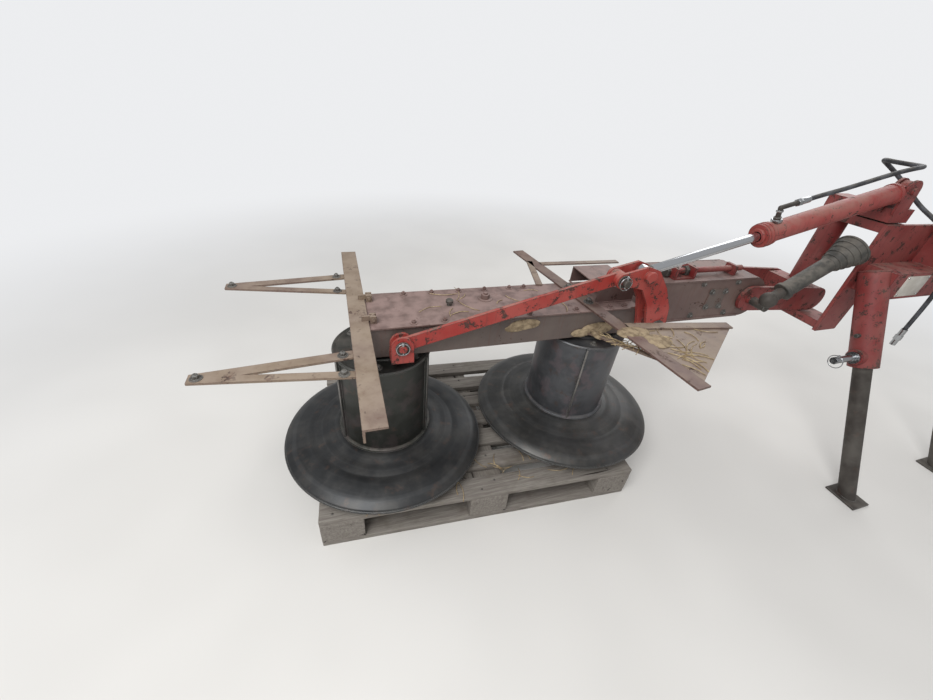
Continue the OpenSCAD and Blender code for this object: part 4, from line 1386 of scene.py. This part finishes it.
@dataclass
class CylinderFittings:
    """The turned rod, and the barrel's bands and nuts, placed by their distance from the rod's eye."""

    eye: Triple = (67.0, -142.0, 900.0)
    angle: float = 14.7253
    gland: float = 459.44
    port: float = 519.44
    barrel_end: float = 1049.44
    rod_length: float = 609.44
    rod_r: float = 16.0
    eye_r: float = 26.0
    eye_half: float = 16.0
    gland_bands: tuple[tuple[float, Outline], ...] = (
        (0, ((17.6, -7), (25, -7), (28, -4), (28, 0.5), (17.6, 0.5))),
        (0, ((40, 8), (42.6, 9), (42.6, 13), (40, 14))),
        (0, ((40, 22), (42.6, 23), (42.6, 27), (40, 28))),
        (38, ((34, -1), (40, -0.5), (38.5, 4), (34, 6))))
    end_band: Outline = ((24, -12), (34, -12), (38, -10), (38, 2), (35, 4), (24, 4))
    eye_seam: Outline = ((15, 22), (18, 24), (17.5, 29), (15.5, 33), (15, 33))
    nuts: tuple[Nut, ...] = (
        Nut((0, 35), (0, 47), 17.5, 6, 1.5), Nut((0, 70), (0, 78), 11.0, 6, 1.0),
        Nut((66, 85), (82, 85), 13.5, 6, 1.5), Nut((82, 85), (116, 85), 11.2, 24, 1.2))

    def place(self, along: float, out: float = 0.0) -> Triple:
        """Gives a place on the cylinder.

        Args:
            along: Its distance from the rod's eye along the axis, in millimetres.
            out: Its height above the axis.

        Returns:
            The place in measured millimetres.
        """
        lean = math.radians(self.angle)
        x, y, z = self.eye
        return (x + along * math.cos(lean) - out * math.sin(lean), y, z + along * math.sin(lean) + out * math.cos(lean))

    def build(self) -> None:
        """Makes the bands and nuts of the barrel, and then the rod with the weld at its eye."""
        lean = math.radians(self.angle)
        ahead = (math.cos(lean), 0.0, math.sin(lean))
        bands = [spun("band", line, self.place(self.gland + on), ahead, steps=48) for on, line in self.gland_bands]
        bands.append(spun("band", self.end_band, self.place(self.barrel_end), ahead, steps=48))
        dress(join("barrel_bands", bands), Finish.CYLINDER_RED, Body.CYLINDER)
        nuts = []
        for nut in self.nuts:
            start, end = (self.place(self.port + past, above) for past, above in (nut.first, nut.last))
            nuts.append(bar("nut", start, end, nut.radius, nut.sides, nut.bevel))
        dress(join("port_nuts", nuts), Finish.BRIGHT_STEEL, Body.CYLINDER)
        x, y, z = self.eye
        rod = join("rod_turned", [
            bar("rod", self.place(0), self.place(self.rod_length), self.rod_r, sides=64, bevel=1.5),
            bar("rod_eye", (x, y - self.eye_half, z), (x, y + self.eye_half, z), self.eye_r, sides=64, bevel=1.5)])
        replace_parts(dress(rod, Finish.PLATED_ROD, Body.ROD), "cylinder_rod")
        eye_weld = spun("rod_eye_weld", self.eye_seam, self.place(0), ahead, steps=40)
        dress(eye_weld, Finish.DARK_STEEL, Body.ROD)


@dataclass
class HitchFittings:
    """Caps, pins, beads and the blank plate of the hitch frame."""

    legs: Pair = (1150.0, 1810.0)
    leg_top: Pair = (-235.0, 850.0)
    lean: float = 26.0
    cap: Outline = ((0, -1), (47, -1), (51, 1), (50, 4), (34, 7), (0, 8.5))
    cap_up: float = 40.0
    cross_pin_down: float = 215.0
    cross_pin_ends: Outline = ((-70, -49), (49, 64))
    cross_pin_r: float = 8.5
    lower_pin_down: float = 305.0
    lower_pin_ends: Pair = (978.0, 1982.0)
    ring_wide: float = 52.0
    tube_front: float = -290.0
    tube_top: float = 905.0
    ear_sides: tuple[float, ...] = (1428, 1442, 1518, 1532)
    ear_seam: Pair = (-288.0, -181.0)
    column_seam: tuple[Triple, Triple] = ((1112, -181, 1060), (1112, -181, 600))
    plate: tuple[float, float, float, float] = (1224.0, 1366.0, 806.0, 894.0)
    plate_out: float = 2.2
    rivet_r: float = 4.0
    rivet_in: float = 8.0

    def down(self, x: float, run: float) -> Triple:
        """Gives the place at a distance down a leg's axis from its top."""
        lean = math.radians(self.lean)
        return x, self.leg_top[0] - run * math.sin(lean), self.leg_top[1] - run * math.cos(lean)

    def build(self) -> None:
        """Makes the caps, the pins, the plate and the beads."""
        lean = math.radians(self.lean)
        up = (0.0, math.sin(lean), math.cos(lean))
        caps = [spun("cap", self.cap, self.down(x, -self.cap_up), up, steps=48) for x in self.legs]
        # The leg caps take the hitch's darker red, which is painted shade.
        dress(join("leg_caps", caps), Finish.HITCH_RED, Body.BASE)
        self.make_pins()
        self.make_plate()
        beads = [weld("bead", [(x, y, self.tube_top + 0.5) for y in self.ear_seam]) for x in self.ear_sides]
        beads.append(weld("bead", self.column_seam))
        # The beads take the hitch's darker red, which is painted shade.
        dress(join("mast_welds", beads), Finish.HITCH_RED, Body.BASE)

    def make_pins(self) -> None:
        """Makes the ends of the pins that hold the stands, and the linch pins of the lower-link pins."""
        ends = []
        for x in self.legs:
            _, y, z = self.down(x, self.cross_pin_down)
            ends += [bar("end", (x + start, y, z), (x + end, y, z), self.cross_pin_r, sides=20, bevel=1.5)
                     for start, end in self.cross_pin_ends]
        dress(join("stand_pins", ends), Finish.DARK_STEEL, Body.BASE)
        for side, x in zip(("left", "right"), self.lower_pin_ends):
            linch = linch_pin("lower_pin_linch_" + side, self.down(x, self.lower_pin_down), self.ring_wide, Axis.X)
            dress(linch, Finish.BRIGHT_STEEL, Body.BASE)

    def make_plate(self) -> None:
        """Makes the blank plate on the cross tube and its four rivets."""
        x0, x1, z0, z1 = self.plate
        face = self.tube_front - self.plate_out
        plate = block("blank_plate", (x0, face, z0), (x1, self.tube_front + 0.5, z1), bevel=0.8)
        dress(plate, Finish.BLANK_PLATE, Body.BASE)
        corners = [((x, face, z), Axis.BACK.value, 0.0)
                   for x in (x0 + self.rivet_in, x1 - self.rivet_in) for z in (z0 + self.rivet_in, z1 - self.rivet_in)]
        rivets = spread("plate_rivets", round_head(self.rivet_r), corners)
        dress(rivets, Finish.BRIGHT_STEEL, Body.BASE)


@dataclass
class BeltGuardFittings:
    """Folded edges, bolts and the inspection plate of the belt guard, and the nuts of the belt's tensioner."""

    front: float = -60.0
    folds: tuple[tuple[Triple, Triple], ...] = (
        ((231, -63.2, 629.5), (739, -59, 640)), ((231, -62.6, 803), (739, -59, 811.5)),
        ((231, 129, 803), (739, 132.6, 811.5)))
    hatch: tuple[Triple, Triple] = ((520, -63, 680), (610, -59, 768))
    hatch_bolts: Outline = ((530, 690), (530, 758), (600, 690), (600, 758))
    bolts: Outline = ((252, 662), (252, 788), (470, 654), (470, 796), (650, 654), (650, 796))
    bolt_across: float = 13.0
    tensioner: Pair = (-5.0, 832.0)
    nuts: tuple[float, ...] = (304, 347, 398, 433)
    nut_t: float = 15.0
    nut_r: float = 21.0
    washer: Outline = ((20.3, 0), (31, 0), (32, 1), (32, 3.2), (31, 4.2), (20.3, 4.2))
    arm_pin_end: Triple = (185, -173.4, 690)

    def build(self) -> None:
        """Makes the sheet work and the fastenings."""
        folds = [block("fold", low, high, bevel=1.2) for low, high in self.folds]
        dress(join("belt_guard_folds", folds), Finish.BEAM_BROWN, Body.ARM)
        hatch = block("belt_guard_hatch", *self.hatch, bevel=1.2)
        dress(hatch, Finish.CASE_BROWN, Body.ARM)
        places = [((x, self.front, z), Axis.BACK.value, 3.0 * x) for x, z in self.bolts]
        places += [((x, self.hatch[0][1], z), Axis.BACK.value, 5.0 * x) for x, z in self.hatch_bolts]
        bolts = spread("belt_guard_bolts", hex_bolt(self.bolt_across), places)
        dress(bolts, Finish.DARK_STEEL, Body.ARM)
        y, z = self.tensioner
        nuts = [bar("nut", (x, y, z), (x + self.nut_t, y, z), self.nut_r, sides=6, bevel=2) for x in self.nuts]
        dress(join("tensioner_nuts", nuts), Finish.DARK_STEEL, Body.ARM)
        washer = spun("arm_pin_washer", self.washer, self.arm_pin_end, Axis.BACK.value, steps=40)
        dress(washer, Finish.DARK_STEEL, Body.ARM)


@dataclass
class DriveShaftFittings:
    """Moulded ribs and the collar of the drive shaft's guard."""

    start: Triple = (740.0, -150.0, 752.0)
    end: Triple = (1055.0, -150.0, 955.0)
    bell: float = 110.0
    bell_radii: Pair = (32.0, 65.0)
    ribs: tuple[float, ...] = (16.0, 38.0, 60.0, 82.0, 104.0)
    rib: Outline = ((-1, -2.5), (2, -2.5), (3, -1), (3, 1.5), (-1, 2.5))
    collar: Outline = ((30, -2), (35, -2), (37, 0), (37, 12), (34, 15), (30, 15))
    collar_at: float = 62.0

    def build(self) -> None:
        """Makes the ribs, each as wide as the bell is at its place, and the collar."""
        ahead = Vector(self.end) - Vector(self.start)
        length = ahead.length
        ahead.normalize()
        small, wide = self.bell_radii
        rings = []
        for run in self.ribs:
            radius = small + (wide - small) * run / self.bell
            place = tuple(Vector(self.start) + ahead * (length - self.bell + run))
            rings.append(spun("rib", [(radius + out, up) for out, up in self.rib], place, tuple(ahead), steps=48))
        place = tuple(Vector(self.start) + ahead * self.collar_at)
        rings.append(spun("collar", self.collar, place, tuple(ahead), steps=48))
        dress(join("shaft_guard_ribs", rings), Finish.GREY_PLASTIC, Body.SIDE_ARM)


@dataclass
class OuterGuardFittings:
    """Bolts at the roots and tips of the outer guard's arms."""

    arm_top: float = 743.3
    roots: Outline = ((-918, 275), (-918, 160), (-918, -227), (-918, -309))
    tips: Outline = ((-1255, 240), (-1255, -262))
    across: float = 15.0

    def build(self) -> None:
        """Makes the bolts."""
        places = [((x, y, self.arm_top), Axis.Z.value, 2.0 * y) for x, y in self.roots]
        places += [((x, y, self.arm_top), Axis.Z.value, y) for x, y in self.tips]
        bolts = spread("outer_guard_bolts", hex_bolt(self.across), places)
        dress(bolts, Finish.DARK_STEEL, Body.OUTER_GUARD)


@dataclass(frozen=True)
class StrawBed:
    """A patch that straw lies on, by its corner and two sides, in measured millimetres."""

    name: str
    body: Body
    count: int
    corner: Triple
    along: Triple
    across: Triple
    taper: float = 0.0

    def place(self, u: float, v: float) -> Triple:
        """Gives a place on the patch.

        Args:
            u: How far along it lies, from 0 to 1.
            v: How far across it lies. With a taper of 1 the patch ends in a point there.

        Returns:
            The place in measured millimetres.
        """
        x, y, z = (c + a * u * (1 - self.taper * v) + b * v for c, a, b in zip(self.corner, self.along, self.across))
        return x, y, z


@dataclass
class Litter:
    """Straw and dried crop that lie on the mower and on its pallet."""

    seed: int = 11
    beds: tuple[StrawBed, ...] = (
        StrawBed("straw_on_plate", Body.BEAM, 30, (12, -262, 748.6), (300, -34, 0), (16, -226, 0), 1),
        StrawBed("straw_on_cover", Body.BEAM, 12, (-680, -88, 748.4), (560, 0, 0), (0, 176, 0)),
        StrawBed("straw_on_pallet", Body.BASE, 44, (-960, -322, 145.6), (1080, 0, 0), (0, 120, 0)),
        StrawBed("straw_on_stay", Body.BEAM, 22, (-47, -118, 660), (40, -250, 74), (0, 8, 0)))
    straw_radius: float = 1.5
    straw_uneven: Pair = (0.7, 1.1)
    straw_reach: Pair = (18.0, 52.0)
    straw_curl: float = 0.25
    straw_arch: float = 2.2
    lumps: tuple[tuple[Triple, Triple], ...] = (
        ((-16, -110, 668), (68, 12, 24)), ((-82, -110, 655), (42, 10, 17)), ((44, -110, 682), (38, 9, 22)),
        ((-318, -108, 712), (58, 6, 21)), ((-352, -108, 700), (40, 5, 14)), ((-8, -270, 749), (60, 34, 9)),
        ((40, -330, 749), (46, 38, 8)), ((-44, -150, 668), (17, 30, 9)))
    lump_rough: float = 1.7
    chance: random.Random = field(init=False)

    def __post_init__(self) -> None:
        """Sets up the random draws, the same on every run."""
        self.chance = random.Random(self.seed)

    def build(self) -> None:
        """Strews the straw and packs the crop into the corners."""
        for bed in self.beds:
            self.strew(bed)
        clumps = [self.lump(place, reach) for place, reach in self.lumps]
        dress(join("dried_crop", clumps), Finish.MUD, Body.BEAM)

    def strew(self, bed: StrawBed) -> None:
        """Strews straws over a bed.

        Args:
            bed: Where they lie, how many they are and the name and body of their piece.
        """
        straws = []
        for _ in range(bed.count):
            x, y, z = bed.place(self.chance.random(), self.chance.random())
            heading = self.chance.uniform(0, math.tau)
            reach = self.chance.uniform(*self.straw_reach)
            route = []
            for f in (-1, -0.5, 0, 0.5, 1):
                turn = heading + self.straw_curl * f
                rise = self.straw_arch * (1 - f * f) * self.chance.random()
                route.append(spot(x + reach * f * math.cos(turn), y + reach * f * math.sin(turn), z + rise))
            thick = self.straw_radius * self.chance.uniform(*self.straw_uneven)
            straws.append(sweep("straw", route, thick * MM, sides=5))
        dress(join(bed.name, straws), Finish.STRAW, bed.body)

    def lump(self, place: Triple, reach: Triple) -> bpy.types.Object:
        """Makes one uneven lump of dried crop.

        Args:
            place: Its middle in measured millimetres.
            reach: Half its size along each axis.

        Returns:
            The lump.
        """
        fresh()
        bpy.ops.mesh.primitive_ico_sphere_add(subdivisions=4, radius=1, location=spot(*place),
                                              scale=[r * MM for r in reach])
        piece = settle(bpy.context.object)
        mesh_edit(piece, lambda face: True)
        bpy.ops.transform.vertex_random(offset=self.lump_rough * MM, uniform=0.3, seed=self.chance.randrange(1000))
        return close_edit(piece, angle=60)


NODE_FINISHES: dict[str, Finish] = {
    "pallet_blocks": Finish.WOOD_Y,
    # The hitch's nodes take its darker red, which is painted shade.
    "hitch_frame": Finish.HITCH_RED, "mast": Finish.HITCH_RED, "lower_link_pins": Finish.BRIGHT_STEEL,
    "swing_column": Finish.HITCH_RED, "side_arm": Finish.HITCH_RED, "column_head": Finish.HITCH_RED,
    "pto_guard": Finish.GREY_PLASTIC, "pto_yoke": Finish.DARK_STEEL,
    "arm_tube": Finish.BEAM_BROWN, "belt_guard": Finish.BEAM_BROWN, "arm_pin": Finish.BRIGHT_STEEL,
    "tensioner": Finish.HITCH_RED,
    "gear_case": Finish.CASE_BROWN, "beam_cover": Finish.BEAM_BROWN, "input_hood": Finish.BEAM_BROWN,
    "beam_hubs": Finish.DARK_STEEL, "stay_bracket": Finish.BRIGHT_RED, "stay_bar": Finish.BRIGHT_RED,
    "rocker": Finish.BRIGHT_RED, "inner_guard_bar": Finish.GUARD_DARK, "guard_lugs": Finish.GUARD_BROWN,
    "drum_outer": Finish.DRUM_OUTER, "disc_outer": Finish.DISC_OUTER, "knives_outer": Finish.DARK_STEEL,
    "skid_outer": Finish.DARK_STEEL,
    "drum_inner": Finish.DRUM_INNER, "disc_inner": Finish.DISC_INNER, "knives_inner": Finish.DARK_STEEL,
    "skid_inner": Finish.DARK_STEEL,
    "outer_guard_bar": Finish.GUARD_BROWN, "outer_guard_arms": Finish.GUARD_BROWN,
    "cylinder_barrel": Finish.CYLINDER_RED, "port_pipe": Finish.DARK_STEEL,
    "stand_leg_left": Finish.DARK_STEEL, "stand_leg_right": Finish.DARK_STEEL,
}


def dress_nodes() -> None:
    """Gives every CAD node that stays on show its finish."""
    for name, finish in NODE_FINISHES.items():
        dress_node(name, finish)


def main() -> None:
    """Builds the studio, each sub-assembly and the hoses in order, and reports each piece."""
    logging.basicConfig(level=logging.INFO, format="%(message)s")
    parts = (
        Studio(), Pallet(),
        DrumFittings("outer", Body.DRUM_OUTER, -790, Finish.DRUM_OUTER, Finish.DISC_OUTER, -36),
        DrumFittings("inner", Body.DRUM_INNER, 0, Finish.DRUM_INNER, Finish.DISC_INNER, 7),
        InnerGuard(), BeamFittings(), LinkageFittings(), CylinderFittings(), HitchFittings(), BeltGuardFittings(),
        DriveShaftFittings(), OuterGuardFittings(), Litter(), Hoses())
    for part in parts:
        before = set(bpy.data.objects.keys())
        part.build()
        for name in bpy.data.objects.keys():
            if name not in before:
                LOG.info("%s: made %s", type(part).__name__, name)
    dress_nodes()


if __name__ == "__main__":
    main()
